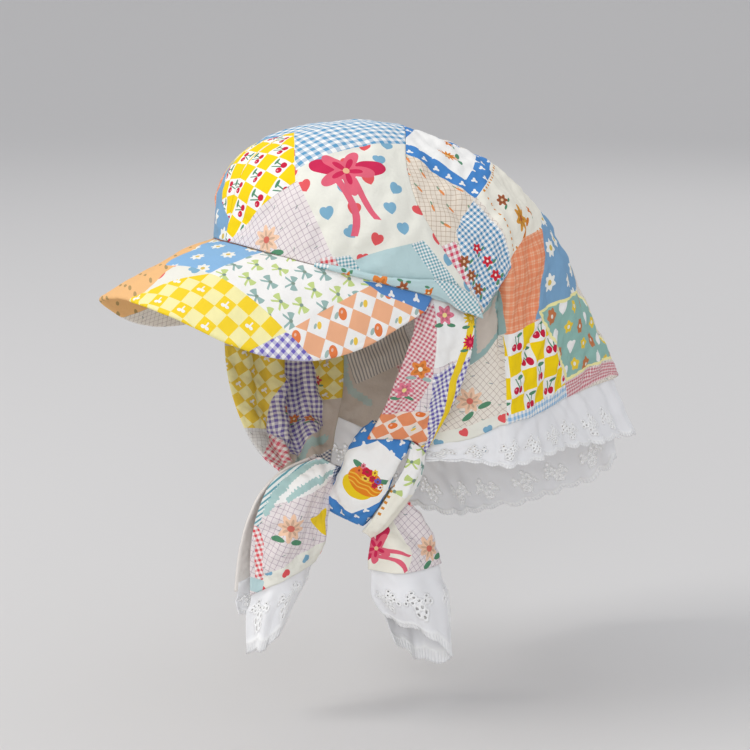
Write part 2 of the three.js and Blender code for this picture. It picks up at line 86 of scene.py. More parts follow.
# Veil sections from the seam to the back corner:
# crestY, crestZ, sideX, sideY, sideZ, hemX, hemY, hemZ, bow, full, lean
VEIL_LEFT_ROWS = [
    (27.0, 90.0, 94, 34, -23, 46, 8, -118, 40, 0.92, -12),
    (46.0, 83.5, 90, 48, -8, 66, 40, -114, 26, 0.94, -6),
    (68.0, 75.0, 84, 62, 5, 78, 66, -103, 8, 0.95, 0),
    (92.0, 62.5, 76, 84, -5, 70, 90, -102, 2, 1.0, 0),
    (117.0, 41.0, 64, 110, -20, 56, 114, -101, 0, 1.0, 0),
    (146.0, 7.0, 46, 142, -45, 40, 140, -100, 0, 1.0, 0),
    (180.0, -43.7, 24, 178, -75, 22, 174, -99, 0, 1.0, 0),
    (214.4, -97.4, 4, 211, -98.4, 7, 206, -99, 0, 1.0, 0),
]
VEIL_RIGHT_ROWS = [
    (27.0, 90.0, 94, 34, -23, 74, 8, -118, 40, 0.92, 0),
    (46.0, 83.5, 92, 48, -10, 70, 40, -134, 26, 0.94, 0),
    (68.0, 75.0, 87, 62, 0, 66, 66, -148, 8, 0.95, 0),
    (92.0, 62.5, 78, 84, -8, 60, 92, -156, 2, 1.0, 0),
    (117.0, 41.0, 68, 110, -22, 60, 120, -162, 0, 1.0, 0),
    (146.0, 7.0, 54, 142, -48, 56, 155, -160, 0, 1.0, 0),
    (180.0, -43.7, 36, 178, -80, 40, 190, -148, 0, 1.0, 0),
    (214.4, -97.4, 6, 214, -101, 12, 212, -108, 0, 1.0, 0),
]

# Left tie: front edge, crease and rear edge at each level from the rim to the knot
TIE_LEFT_ROWS = [
    [(78, -8, -12), (84, 4, -12), (86, 31, -19)],
    [(82, -9, -30), (91, 1, -28), (91.5, 29.5, -34)],
    [(81, -14, -46), (91, 2, -44), (90, 27, -54)],
    [(75, -19, -66), (86, 4, -66), (82, 23, -78)],
    [(64, -22, -88), (75, 6, -88), (71, 19, -98)],
    [(52, -26, -107), (62, 1, -109), (57, 15, -120)],
]

# Right tie: a broad gathered flap, four points at each level
TIE_RIGHT_ROWS = [
    [(-66, -57, 2), (-79, -28, -8), (-83, 3, -19), (-88, 28, -28)],
    [(-75, -63, -34), (-86, -31, -34), (-89, 0, -40), (-89, 32, -42)],
    [(-78, -64, -67), (-82, -33, -68), (-85, -2, -74), (-82, 32, -72)],
    [(-70, -62, -100), (-70, -36, -104), (-72, -10, -108), (-66, 22, -104)],
    [(-48, -56, -131), (-48, -38, -134), (-47, -20, -136), (-47, 4, -132)],
    [(-16, -45, -146), (-15, -36, -150), (-14, -26, -152), (-14, -16, -150)],
    [(22, -36, -146), (22, -30, -150), (22, -22, -152), (22, -14, -150)],
]

# Knot slices from its upper to its lower end: centre x, y, z, half width, half depth
KNOT_ROWS = [
    (51, -7, -104, 14.5, 4.5), (48.5, -11, -110.5, 16.3, 9), (44.5, -17.5, -122, 17.2, 12.5),
    (39.5, -20.5, -136, 17.2, 13.5), (34.5, -24.5, -149, 16.8, 12.5), (30, -27.5, -158.5, 15.6, 9.5),
    (28, -28.5, -164.5, 13.2, 5),
]
KNOT_SQUARENESS = 0.62    # 1 is an oval, less is squarer

# Loop beside the knot: left edge, middle, right edge
LOOP_ROWS = [
    [(62, 1.5, -110), (61, 8.5, -115.3), (56.5, 15, -121.2)],
    [(60, -2, -126), (62, 5, -131), (54, 12, -140)],
    [(54, -10, -144), (58, -5, -150), (50, 3, -156)],
    [(47, -20, -163.5), (51, -15, -166.5), (45, -9, -171.5)],
    [(40, -23, -172.5), (42, -20, -174.5), (40, -17, -177.5)],
]

# Left tail and its lace: back layer left and middle, right edge, front middle, front left
TAIL_LEFT_ROWS = [
    [(20, -49, -122), (20, -38, -128), (24, -30, -131), (34, -40, -127), (30, -50, -121)],
    [(18, -74, -132), (14, -54, -138), (27, -39, -146), (40, -60, -133), (28, -80, -131)],
    [(14, -90, -152), (10, -62, -158), (26, -43, -164), (40, -74, -153), (24, -91, -152)],
    [(7, -97, -182), (8, -64, -184), (22, -44, -184), (34, -76, -182), (18, -94, -178)],
    [(3, -99, -212), (4, -68, -198), (18, -47, -194), (30, -75, -200), (12, -92, -213)],
]
LACE_TAIL_LEFT_ROWS = [
    [(2.6, -98.8, -212.8), (3.6, -68, -198.8), (17.8, -47.2, -194.8), (29.8, -75.2, -200.8),
     (11.8, -92, -213.8)],
    [(3, -98, -221), (2, -74, -214), (15, -52, -207), (26, -78, -220), (9, -94, -229)],
    [(4, -96, -229), (3, -80, -227), (12, -60, -224), (20, -83, -248), (7, -93, -255)],
]

# Right tail and its lace: front left, front middle, right edge, back middle, back left
TAIL_RIGHT_ROWS = [
    [(37, -20, -158), (42, -11, -156), (41, 2, -147), (31, 0, -149), (27, -14, -158)],
    [(36, -13, -169), (40, -1, -167), (41, 12, -158), (32, 8, -162), (30, -6, -168)],
    [(38, -17, -190), (57, -2, -188), (46, 27, -184), (30, 15, -190), (32, -8, -190)],
    [(41, -19, -199), (61, -4, -199), (48, 33, -201), (30, 20, -204), (35, -11, -202)],
]
LACE_TAIL_RIGHT_ROWS = [
    [(41, -19, -199.8), (61, -4, -199.8), (48, 33, -201.8), (30, 20, -204.8), (35, -11, -202.8)],
    [(42, -17, -218), (64, 0, -220), (51, 38, -226), (31, 24, -232), (36, -8, -224)],
    [(43, -5, -236), (60, 12, -244), (53, 40, -269), (33, 27, -274), (38, 4, -255)],
]

# Lower edge of the hem lace from the knot end to the corner
LACE_LEFT_LOWER = [
    (48, 10, -127), (66, 41, -128), (76, 68, -134), (60, 104, -135),
    (44, 140, -137), (28, 172, -140), (14, 206, -143), (3, 232, -145),
]
LACE_RIGHT_LOWER = [
    (-68, 10, -154), (-62, 42, -176), (-55, 76, -192), (-60, 112, -204),
    (-62, 150, -206), (-52, 186, -199), (-34, 214, -188), (-16, 229, -166),
]

# Side band: places on the crown (share back, share down) of its upper and its lower edge
BAND_UPPER = [(0.03, 0.5), (0.07, 0.62), (0.12, 0.76), (0.3, 0.86), (0.6, 0.91), (0.97, 0.96)]
BAND_LOWER = [(0.0, 0.5), (0.0, 0.62), (0.0, 0.78), (0.0, 0.93), (0.4, 1.0), (0.97, 1.0)]
BAND_STAND = 2.4
BAND_PUFF = 1.5
BAND_LIFT = 1.6
BAND_DROP = 4.0


def curve(rows, share):
    """Smooth curve through evenly spaced rows of numbers, at shares 0..1 of its length."""
    rows = np.asarray(rows, float)
    last = len(rows) - 1
    place = np.clip(np.asarray(share, float), 0, 1) * last
    i = np.minimum(place.astype(int), last - 1)
    f = (place - i).reshape(place.shape + (1,) * (rows.ndim - 1))
    wide = np.concatenate([[2 * rows[0] - rows[1]], rows, [2 * rows[last] - rows[last - 1]]])
    a, b, c, d = wide[i], wide[i + 1], wide[i + 2], wide[i + 3]
    return b + 0.5 * f * ((c - a) + f * ((2 * a - 5 * b + 4 * c - d) + f * (3 * b - a - 3 * c + d)))


def net(rows, u, v):
    """Smooth surface through a net of points, at every share u down it and v across it."""
    u, v = np.broadcast_arrays(u, v)
    down = curve(rows, u)
    last = down.shape[-2] - 1
    wide = np.concatenate([2 * down[..., :1, :] - down[..., 1:2, :], down,
                           2 * down[..., -1:, :] - down[..., -2:-1, :]], -2)
    place = np.clip(v, 0, 1) * last
    i = np.minimum(place.astype(int), last - 1)
    f = (place - i)[..., None]
    a, b, c, d = (np.take_along_axis(wide, (i + k)[..., None, None], -2)[..., 0, :] for k in range(4))
    return b + 0.5 * f * ((c - a) + f * ((2 * a - 5 * b + 4 * c - d) + f * (3 * b - a - 3 * c + d)))


def smooth(a, b, x):
    """Smooth step from 0 at a to 1 at b."""
    f = np.clip((x - a) / (b - a), 0, 1)
    return f * f * (3 - 2 * f)


def arch(crest_y, crest_z, side_x, side_y, side_z, bow, full, share):
    """Quarter arch of a section: share 0 is the crest, 1 the side point."""
    turn = share * np.pi / 2
    s = np.sin(turn) ** full
    c = np.maximum(np.cos(turn), 0) ** full
    lean = bow * np.sin(2 * turn) * np.sqrt(np.sin(turn))
    return np.stack([side_x * s, side_y + (crest_y - side_y) * c - lean,
                     side_z + (crest_z - side_z) * c], -1)


def crown_points(u, v):
    """Left half of the crown: u from the rim to the seam, v from the crest to the side."""
    u, v = np.broadcast_arrays(u, v)
    row = np.moveaxis(curve(CROWN_ROWS, u), -1, 0)
    return arch(*row, v)


def peak_points(v, t):
    """Peak: v from -1 to 1 across it, t from the rim to its outer edge."""
    v, t = np.broadcast_arrays(v, t)
    side = np.abs(v)
    rim = crown_points(0.0 * side, side)
    edge = curve(PEAK_EDGE_ROWS, side)
    start = PEAK_START / np.linalg.norm(edge - rim, axis=-1)
    share = start + (1 - start) * t
    p = rim + (edge - rim) * share[..., None]
    p[..., 2] += PEAK_BULGE * np.sin(np.pi * share) * (1 - side * side)
    drop = np.sin(np.pi * np.clip(side / 0.8, 0, 1)) ** 0.8 * smooth(0.1, 0.55, share)
    p[..., 2] -= np.where(v < 0, PEAK_FAR_DROP * drop, 0)
    p[..., 0] *= np.where(v < 0, -1, 1)
    return p


def veil_side(rows, u, v, tucked):
    """One side of the veil: an arch from the crest to the side point, then a fall to the hem."""
    u, v = np.broadcast_arrays(u, v)
    cy, cz, sx, sy, sz, hx, hy, hz, bow, full, lean = np.moveaxis(curve(rows, u), -1, 0)
    upper = arch(cy, cz, sx, sy, sz, bow, full, np.clip(v / SIDE_SHARE, 0, 1))
    b = np.clip((v - SIDE_SHARE) / (1 - SIDE_SHARE), 0, 1)
    side = np.stack([sx, sy, sz], -1)
    hem = np.stack([hx, hy, hz], -1)
    middle = np.stack([0.65 * sx + 0.35 * hx, 0.5 * (sy + hy) + lean, 0.5 * (sz + hz)], -1)
    k = b[..., None]
    lower = side * (1 - k) ** 2 + middle * 2 * k * (1 - k) + hem * k * k
    if tucked:
        depth = TUCK_DEPTH + (TUCK_HEM_DEPTH - TUCK_DEPTH) * smooth(0.3, 1, b)
        ahead = 1 - smooth(RIDGE_SHARE - 0.024, RIDGE_SHARE, u)
        lower[..., 0] -= depth * ahead * smooth(0, 0.12, b)
    return np.where((v <= SIDE_SHARE)[..., None], upper, lower)


def veil_points(u, w):
    """Whole veil: w from the left hem (-1) over the crest (0) to the right hem (1)."""
    u, w = np.broadcast_arrays(u, w)
    left = veil_side(VEIL_LEFT_ROWS, u, np.abs(w), True)
    right = veil_side(VEIL_RIGHT_ROWS, u, np.abs(w), False)
    right[..., 0] *= -1
    return np.where((w < 0)[..., None], left, right)


def band_points(u, v, mirror):
    """Side band: u along the rim to the seam, v from its upper to its lower edge."""
    u, v = np.broadcast_arrays(u, v)
    upper = crown_points(*np.moveaxis(curve(BAND_UPPER, u), -1, 0))
    lower = crown_points(*np.moveaxis(curve(BAND_LOWER, u), -1, 0))
    p = upper + (lower - upper) * v[..., None]
    out = np.stack([p[..., 0] / 88, np.where(p[..., 1] < 7, (p[..., 1] - 7) / 108, 0), 0 * u], -1)
    out /= np.linalg.norm(out, axis=-1, keepdims=True)
    p += out * (BAND_STAND + BAND_PUFF * np.sin(np.pi * v))[..., None]
    p[..., 2] += v * (BAND_LIFT - (BAND_LIFT + BAND_DROP) * smooth(0.62, 0.9, u))
    p[..., 0] *= mirror
    return p


def hem_lace_points(side, lower, waves, u, v):
    """Lace along the hem: u from the knot end to the corner, v from inside the hem to its lower edge."""
    u, v = np.broadcast_arrays(u, v)
    back = 0.02 + 0.975 * u
    top = veil_points(back, side + 0 * u)
    down = top - veil_points(back, side * 0.97 + 0 * u)
    down /= np.linalg.norm(down, axis=-1, keepdims=True)
    top = top - down * LACE_OVERLAP
    top[..., 0] += side * LACE_INSET * smooth(0, 0.1, 1.06 - u)
    low = curve(lower, u)
    p = top + (low - top) * v[..., None]
    p[..., 0] += -side * LACE_WAVE * v * np.sin(2 * np.pi * waves * u)
    return p


def knot_points(u, v):
    """Knot: u from its upper to its lower end, v once round a squared oval."""
    u, v = np.broadcast_arrays(u, v)
    row = curve(KNOT_ROWS, u)
    axis = np.array(KNOT_AXIS)
    axis /= np.linalg.norm(axis)
    outward = np.array(KNOT_OUTWARD)
    depth = outward - axis * (outward @ axis)
    depth /= np.linalg.norm(depth)
    width = np.cross(axis, depth)
    turn = 2 * np.pi * v
    c, s = np.cos(turn), np.sin(turn)
    flat_c = np.sign(c) * np.abs(c) ** KNOT_SQUARENESS
    flat_s = np.sign(s) * np.abs(s) ** KNOT_SQUARENESS
    return (row[..., :3] + width * (row[..., 3] * flat_c)[..., None]
            + depth * (row[..., 4] * flat_s)[..., None])


def flatten(points, start, rounds=600):
    """The cloth laid flat, in millimetres: start is a first guess, and every edge and diagonal of the
    grid is pulled again and again towards its true length on the body."""
    flat = np.array(start, float)
    pairs = []
    for a, b in (((slice(0, -1), slice(None)), (slice(1, None), slice(None))),
                 ((slice(None), slice(0, -1)), (slice(None), slice(1, None))),
                 ((slice(0, -1), slice(0, -1)), (slice(1, None), slice(1, None))),
                 ((slice(0, -1), slice(1, None)), (slice(1, None), slice(0, -1)))):
        pairs.append((a, b, np.linalg.norm(points[a] - points[b], axis=-1)))
    count = np.zeros(flat.shape[:2])
    for a, b, _ in pairs:
        count[a] += 1
        count[b] += 1
    for _ in range(rounds):
        move = np.zeros_like(flat)
        for a, b, length in pairs:
            gap = flat[b] - flat[a]
            now = np.linalg.norm(gap, axis=-1) + 1e-9
            pull = gap * (0.5 * (1 - length / now))[..., None]
            move[a] += pull
            move[b] -= pull
        flat += FLATTEN_PULL * move / count[..., None]
    return flat


def tie_right_points(u, v):
    """Right tie: its net of points with three soft gathers."""
    p = net(TIE_RIGHT_ROWS, u, v)
    p[..., 0] += TIE_WAVE * np.sin(2 * np.pi * TIE_WAVES * v) * np.sin(np.pi * u)
    return p


def lengths(points):
    """First guess of a flat cloth: true lengths across, mean lengths down."""
    down = np.linalg.norm(np.diff(points, axis=0), axis=-1).mean(1)
    down = np.concatenate([[0], np.cumsum(down)])
    across = np.linalg.norm(np.diff(points, axis=1), axis=-1)
    across = np.concatenate([np.zeros((len(points), 1)), np.cumsum(across, axis=1)], 1)
    across -= across[:, across.shape[1] // 2][:, None]
    return np.stack([across, np.repeat(-down[:, None], points.shape[1], 1)], -1)


def seen_from(points, azimuth):
    """First guess of a flat cloth: its outline from the side at that azimuth, in degrees."""
    a = np.radians(azimuth)
    return np.stack([points[..., 0] * np.cos(a) + points[..., 1] * np.sin(a), points[..., 2]], -1)


def flat_veil(u, v):
    """The veil laid flat, worked out without its tuck: first on a coarse grid, with the crest straight
    down the middle, then on a finer one."""
    def smooth_veil(rows, columns):
        """The veil at that many rows and columns, both sides without the tuck."""
        a, b = np.linspace(0, 1, rows)[:, None], np.linspace(-1, 1, columns)[None]
        a = 0.006 + 0.994 * a
        left = veil_side(VEIL_LEFT_ROWS, a, np.abs(b), False)
        right = veil_side(VEIL_RIGHT_ROWS, a, np.abs(b), False) * np.array([-1.0, 1.0, 1.0])
        return np.where((b < 0)[..., None], left, right)

    coarse = smooth_veil(15, 29)
    middle = coarse.shape[1] // 2
    steps = np.linalg.norm(np.diff(coarse[:, middle], axis=0), axis=-1)
    down = np.concatenate([[0], np.cumsum(steps)])
    start = lengths(coarse)
    start[..., 1] = -down[:, None]
    flat = flatten(coarse, start, 3000)
    rows, columns = 57, 113
    flat = net(flat, np.linspace(0, 1, rows)[:, None], np.linspace(0, 1, columns)[None])
    flat = flatten(smooth_veil(rows, columns), flat, 400)
    return net(flat, u, v)


# Camera, at the photograph's angle

CAMERA_AZIMUTH = 60.0
CAMERA_ELEVATION = 8.0
CAMERA_DISTANCE = 1.3
LOOK_RIGHT, LOOK_UP = 0.00867, -0.0753   # point at the middle of the frame, beside and below the origin
LENS, SENSOR = 93.6, 36.0                # focal length and width of the sensor, in mm


def set_camera():
    """Camera on a ray from the origin at the photograph's azimuth and elevation, turned to the middle
    of the frame."""
    az, el = np.radians(CAMERA_AZIMUTH), np.radians(CAMERA_ELEVATION)
    back = np.array([np.sin(az) * np.cos(el), -np.cos(az) * np.cos(el), np.sin(el)])
    right = np.array([np.cos(az), np.sin(az), 0.0])
    up = np.cross(back, right)
    place = Vector(back * CAMERA_DISTANCE)
    target = Vector(right * LOOK_RIGHT + up * LOOK_UP)
    lens = bpy.data.cameras.new("photo_camera")
    lens.lens = LENS
    lens.sensor_width = SENSOR
    lens.dof.use_dof = False
    camera = bpy.data.objects.new("photo_camera", lens)
    camera.location = place
    camera.rotation_euler = (target - place).to_track_quat("-Z", "Y").to_euler()
    bpy.context.collection.objects.link(camera)
    bpy.context.scene.camera = camera


# Cloth


def normals(points):
    """Direction square to the cloth at every point: the cross product of its two grid directions."""
    n = np.cross(np.gradient(points, axis=0), np.gradient(points, axis=1))
    return n / (np.linalg.norm(n, axis=-1, keepdims=True) + 1e-12)


def crumple(flat, seed, height, size):
    """Soft crumpling: the sum of twelve sine waves in seeded directions, longest about size mm."""
    rng = np.random.default_rng(seed)
    h = np.zeros(flat.shape[:-1])
    for _ in range(12):
        a = rng.uniform(0, np.pi)
        wave = size * rng.uniform(0.35, 1.0)
        phase = rng.uniform(0, 2 * np.pi)
        bend = rng.uniform(0.2, 0.6) * np.sin(flat[..., 1] / wave * 1.7 + phase)
        h += wave / size * np.sin(2 * np.pi * (flat[..., 0] * np.cos(a) + flat[..., 1] * np.sin(a)) / wave
                                  + phase + bend)
    return height * h / 3.5


def creases(flat, rows):
    """Height of drawn creases. A row is x0, y0, x1, y1 on the flat cloth, width and height in mm: a ridge
    of that height (a groove where it is negative) that fades sideways and towards both ends."""
    h = np.zeros(flat.shape[:-1])
    for x0, y0, x1, y1, width, height in rows:
        a = np.array([x0, y0], float)
        along = np.array([x1 - x0, y1 - y0], float)
        length = np.hypot(*along)
        along /= length
        to = flat - a
        s = np.clip(to @ along, 0, length)
        away = np.linalg.norm(to - s[..., None] * along, axis=-1)
        ends = smooth(-0.02, 0.3, s / length) * smooth(-0.02, 0.3, 1 - s / length)
        h += height * np.exp(-(away / width) ** 2) * (0.25 + 0.75 * ends)
    return h


def patch_depth(flat, corners):
    """How far inside a convex patch every point of the flat cloth lies, in mm; negative outside it."""
    c = np.array(corners, float)
    turn = np.sign(sum(c[i - 1][0] * c[i][1] - c[i][0] * c[i - 1][1] for i in range(len(c))))
    depth = np.full(flat.shape[:-1], FAR)
    for i in range(len(c)):
        a, b = c[i - 1], c[i]
        side = (b - a) / (np.linalg.norm(b - a) + 1e-9)
        inward = turn * np.array([-side[1], side[0]])
        depth = np.minimum(depth, (flat - a) @ inward)
    return depth


def strip_depth(flat, path, width):
    """How far inside a strip of that width along a path every point of the flat cloth lies, in mm;
    negative outside it."""
    away = np.full(flat.shape[:-1], FAR)
    for a, b in zip(np.array(path[:-1], float), np.array(path[1:], float)):
        along = b - a
        share = np.clip((flat - a) @ along / (along @ along), 0, 1)
        away = np.minimum(away, np.linalg.norm(flat - a - share[..., None] * along, axis=-1))
    return 0.5 * width - away


def patch_marks(flat, patches):
    """For every patch, how far inside it each point of the flat cloth lies."""
    marks = {}
    for k, (_, outline, *options) in enumerate(patches):
        strip = options[0].get("strip") if options else None
        marks[f"patch_{k:02d}"] = strip_depth(flat, outline, strip) if strip else patch_depth(flat, outline)
    return marks


def shell(name, points, flat, half, marks, holes=None):
    """A closed cloth body: both faces stand half a wall from the middle surface, joined round the edges.
    flat becomes the UV map in mm, marks are named numbers at each point, and holes is true for quads left
    out. Faces on the side away from the grid's normals get the second material."""
    rows, columns = points.shape[:2]
    n = normals(points)
    half = np.broadcast_to(np.asarray(half, float), points.shape[:2])[..., None]
    both = np.concatenate([(points + n * half).reshape(-1, 3), (points - n * half).reshape(-1, 3)]) * MM
    count = rows * columns
    index = np.arange(count).reshape(rows, columns)
    quads = np.stack([index[:-1, :-1], index[1:, :-1], index[1:, 1:], index[:-1, 1:]], -1)
    keep = np.ones(quads.shape[:2], bool) if holes is None else ~holes
    # walls stand wherever a kept quad has no kept neighbour
    padded = np.pad(keep, 1)
    walls = []
    for di, dj, p, q in ((-1, 0, 3, 0), (1, 0, 1, 2), (0, -1, 0, 1), (0, 1, 2, 3)):
        beside = padded[1 + di:padded.shape[0] - 1 + di, 1 + dj:padded.shape[1] - 1 + dj]
        edge = quads[keep & ~beside]
        walls.append(np.stack([edge[:, q], edge[:, p], edge[:, p] + count, edge[:, q] + count], -1))
    top = quads[keep]
    under = top[:, ::-1] + count
    faces = np.concatenate([top, under] + walls)
    side = np.concatenate([np.zeros(len(top)), np.ones(len(under)), np.zeros(sum(map(len, walls)))])
    used = np.zeros(len(both), bool)
    used[faces.ravel()] = True
    order = np.cumsum(used) - 1
    both, faces = both[used], order[faces]
    mesh = bpy.data.meshes.new(name)
    mesh.vertices.add(len(both))
    mesh.vertices.foreach_set("co", both.ravel())
    mesh.loops.add(faces.size)
    mesh.loops.foreach_set("vertex_index", faces.ravel())
    mesh.polygons.add(len(faces))
    mesh.polygons.foreach_set("loop_start", np.arange(0, faces.size, 4))
    mesh.polygons.foreach_set("material_index", side.astype(np.int32))
    mesh.update(calc_edges=True)
    volume = np.einsum("ij,ij->", both[faces[:, 0]], np.cross(both[faces[:, 1]], both[faces[:, 2]])) \
        + np.einsum("ij,ij->", both[faces[:, 0]], np.cross(both[faces[:, 2]], both[faces[:, 3]]))
    if volume < 0:
        mesh.flip_normals()
        faces = np.empty(len(mesh.loops), np.int32)
        mesh.loops.foreach_get("vertex_index", faces)
    mesh.polygons.foreach_set("use_smooth", np.ones(len(mesh.polygons), bool))
    uv = np.concatenate([flat.reshape(-1, 2)] * 2)[used]
    layer = mesh.uv_layers.new(name="flat")
    layer.data.foreach_set("uv", uv[faces.ravel()].astype(np.float32).ravel())
    for key, value in marks.items():
        value = value.ravel()
        attribute = mesh.attributes.new(key, "FLOAT", "POINT")
        attribute.data.foreach_set("value", np.concatenate([value] * 2)[used].astype(np.float32))
    mesh.validate()
    body = bpy.data.objects.new(name, mesh)
    bpy.context.collection.objects.link(body)
    return body


def hem(depth, wall, roll=0.35):
    """Half wall of a cloth that swells to a rolled hem within 3 mm of its edge, depth mm away."""
    return 0.5 * wall + roll * np.exp(-((depth - 1.6) / 1.3) ** 2)


def edge_depth(flat, sides):
    """Distance in mm along the flat cloth to the named sides of its grid (u0, u1, v0, v1)."""
    down = np.linalg.norm(np.diff(flat, axis=0), axis=-1)
    across = np.linalg.norm(np.diff(flat, axis=1), axis=-1)
    down = np.concatenate([np.zeros((1, flat.shape[1])), np.cumsum(down, 0)])
    across = np.concatenate([np.zeros((flat.shape[0], 1)), np.cumsum(across, 1)], 1)
    found = {"u0": down, "u1": down[-1:] - down, "v0": across, "v1": across[:, -1:] - across}
    return np.minimum.reduce([found[k] for k in sides])


def cut_area(flat):
    """Area in square metres of the cloth as it is cut: half the product of the diagonals of every quad of
    its flat grid, with the sign of its turn, so that a part folded over in the flat counts against it."""
    long, short = flat[1:, 1:] - flat[:-1, :-1], flat[:-1, 1:] - flat[1:, :-1]
    return 0.5 * MM * MM * abs(float((long[..., 0] * short[..., 1] - long[..., 1] * short[..., 0]).sum()))


def eased(flat, rounds=3):
    """The flat cloth with the zigzag taken out: every point moves to a quarter of each neighbour along
    its line plus half of itself, a few times, in both directions. The corners keep their place."""
    flat = flat.copy()
    for _ in range(rounds):
        flat[1:-1] = 0.25 * flat[:-2] + 0.5 * flat[1:-1] + 0.25 * flat[2:]
        flat[:, 1:-1] = 0.25 * flat[:, :-2] + 0.5 * flat[:, 1:-1] + 0.25 * flat[:, 2:]
    return flat


def finer(coarse, rows, columns):
    """The coarse grid of numbers drawn out to a finer one with smooth curves."""
    return net(coarse, np.linspace(0, 1, rows)[:, None], np.linspace(0, 1, columns)[None])


# Print: numbers worked out in the shader, one Math node for each step


def add_node(tree, kind, inputs=None, **settings):
    """A new shader node. Each of its inputs, by name or place, is given a value or the socket that feeds it."""
    node = tree.nodes.new("ShaderNode" + kind)
    for key, value in settings.items():
        setattr(node, key, value)
    for key, value in (inputs or {}).items():
        if isinstance(value, bpy.types.NodeSocket):
            tree.links.new(value, node.inputs[key])
        else:
            node.inputs[key].default_value = value
    return node


class Number:
    """A number carried by a node socket; arithmetic on it adds Math nodes."""

    def __init__(self, tree, socket):
        self.tree, self.socket = tree, socket

    def step(self, kind, *others):
        """The outcome of one Math node of that kind, fed with this number and the others."""
        values = [value.socket if isinstance(value, Number) else value for value in (self,) + others]
        node = add_node(self.tree, "Math", dict(enumerate(values)), operation=kind)
        return Number(self.tree, node.outputs[0])

    def __add__(self, other):
        return self.step("ADD", other)

    def __sub__(self, other):
        return self.step("SUBTRACT", other)

    def __mul__(self, other):
        return self.step("MULTIPLY", other)

    def __truediv__(self, other):
        return self.step("DIVIDE", other)

    def __lt__(self, other):
        return self.step("LESS_THAN", other)

    def __gt__(self, other):
        return self.step("GREATER_THAN", other)

    def __abs__(self):
        return self.step("ABSOLUTE")

    def floor(self):
        """The whole number below it."""
        return self.step("FLOOR")

    def part(self):
        """The fraction left after the whole number."""
        return self.step("FRACT")

    def most(self, other):
        """The larger of the two."""
        return self.step("MAXIMUM", other)

    def sine(self):
        """Its sine, in radians."""
        return self.step("SINE")


WHITE = (0.93, 0.92, 0.89)
CREAM = (0.86, 0.85, 0.76)
PALE_PINK = (0.84, 0.77, 0.76)
PALE_PEACH = (0.87, 0.78, 0.66)
SAGE = (0.36, 0.50, 0.46)
SUN = (0.96, 0.68, 0.01)
PALE_YELLOW = (0.95, 0.88, 0.42)
ORANGE = (0.82, 0.20, 0.05)
RED = (0.62, 0.02, 0.06)
ROSE = (0.70, 0.06, 0.13)
HEART_RED = (0.80, 0.11, 0.12)
HEART_BLUE = (0.22, 0.44, 0.60)
PINK = (0.80, 0.22, 0.30)
VIOLET = (0.16, 0.12, 0.50)
GREEN = (0.10, 0.28, 0.16)
GREY = (0.33, 0.33, 0.36)
STONE = (0.62, 0.55, 0.48)


# Places of the two colours among the Mix node's inputs
MIX_ONE, MIX_TWO = 6, 7


def mixed(tree, share, one, two):
    """The colour between one and two by that share, as a socket."""
    return add_node(tree, "Mix", {"Factor": share, MIX_ONE: one, MIX_TWO: two}, data_type="RGBA").outputs[2]


def along_and_across(tree, place):
    """The first two coordinates of a place socket, as numbers."""
    split = add_node(tree, "SeparateXYZ", {0: place})
    return Number(tree, split.outputs[0]), Number(tree, split.outputs[1])


class Print:
    """A colour being built up in a shader tree, with helpers for the marks printed on it."""

    def __init__(self, tree, x, y, colour=None):
        """x and y are the place on the cloth as numbers; colour is a socket to start from."""
        self.tree, self.x, self.y, self.colour = tree, x, y, colour
        self.cover = None

    def ground(self, colour):
        """Starts the print with one plain colour."""
        node = self.tree.nodes.new("ShaderNodeRGB")
        node.outputs[0].default_value = (*colour, 1)
        self.colour = node.outputs[0]

    def paint(self, colour, where):
        """Puts colour (a triple or a socket) over what is there, where the number is above nought."""
        colour = (*colour, 1) if isinstance(colour, tuple) else colour
        self.colour = mixed(self.tree, where.socket, self.colour, colour)
        self.cover = where if self.cover is None else self.cover.most(where)

    def cells(self, across, down, stagger=0.0, loose=0.0):
        """Place within a repeat of across by down mm, measured from its middle in mm, and the repeat's
        column and row. Every other row is moved sideways by stagger of a repeat. Loose marks are moved
        by up to that many mm and turned a little, by sines of their column and row."""
        row = (self.y / down).floor()
        moved = self.x / across + (row * 0.5).part() * (2 * stagger)
        column = moved.floor()
        x, y = (moved.part() - 0.5) * across, ((self.y / down).part() - 0.5) * down
        if loose:
            one = (column * 1.7 + row * 2.9).sine()
            two = (column * 3.1 + row * 1.3 + 0.7).sine()
            a, b = x + one * loose, y + two * loose
            turn = (one + two) * 0.28
            c, d = turn.step("COSINE"), turn.sine()
            x, y = a * c - b * d, a * d + b * c
        return x, y, column, row


def oval(x, y, at_x, at_y, wide, tall, lean=0.0):
    """1 inside an oval of that half width and half height, 0 outside it; lean shears it."""
    a = (x - at_x + (y - at_y) * lean) / wide
    b = (y - at_y) / tall
    return (a * a + b * b) < 1.0


def heart_at(x, y, at_x, at_y, size):
    """1 inside the curve (x2 + y2 - 1)3 = x2 y3, drawn size mm from its middle to its side."""
    a = (x - at_x) / (size * 0.88)
    b = (y - at_y) / (size * 0.88)
    r = a * a + b * b - 1.0
    return (r * r * r - a * a * b * b * b) < 0.0


def star_at(x, y, at_x, at_y, radius, petals, depth=0.3):
    """1 inside a flower whose edge swings in and out petals times round a circle of that radius."""
    a, b = x - at_x, y - at_y
    r = (a * a + b * b).step("SQRT")
    turn = b.step("ARCTAN2", a)
    rim = ((turn * petals).step("COSINE") * depth + (1.0 - depth)) * radius
    return r < rim


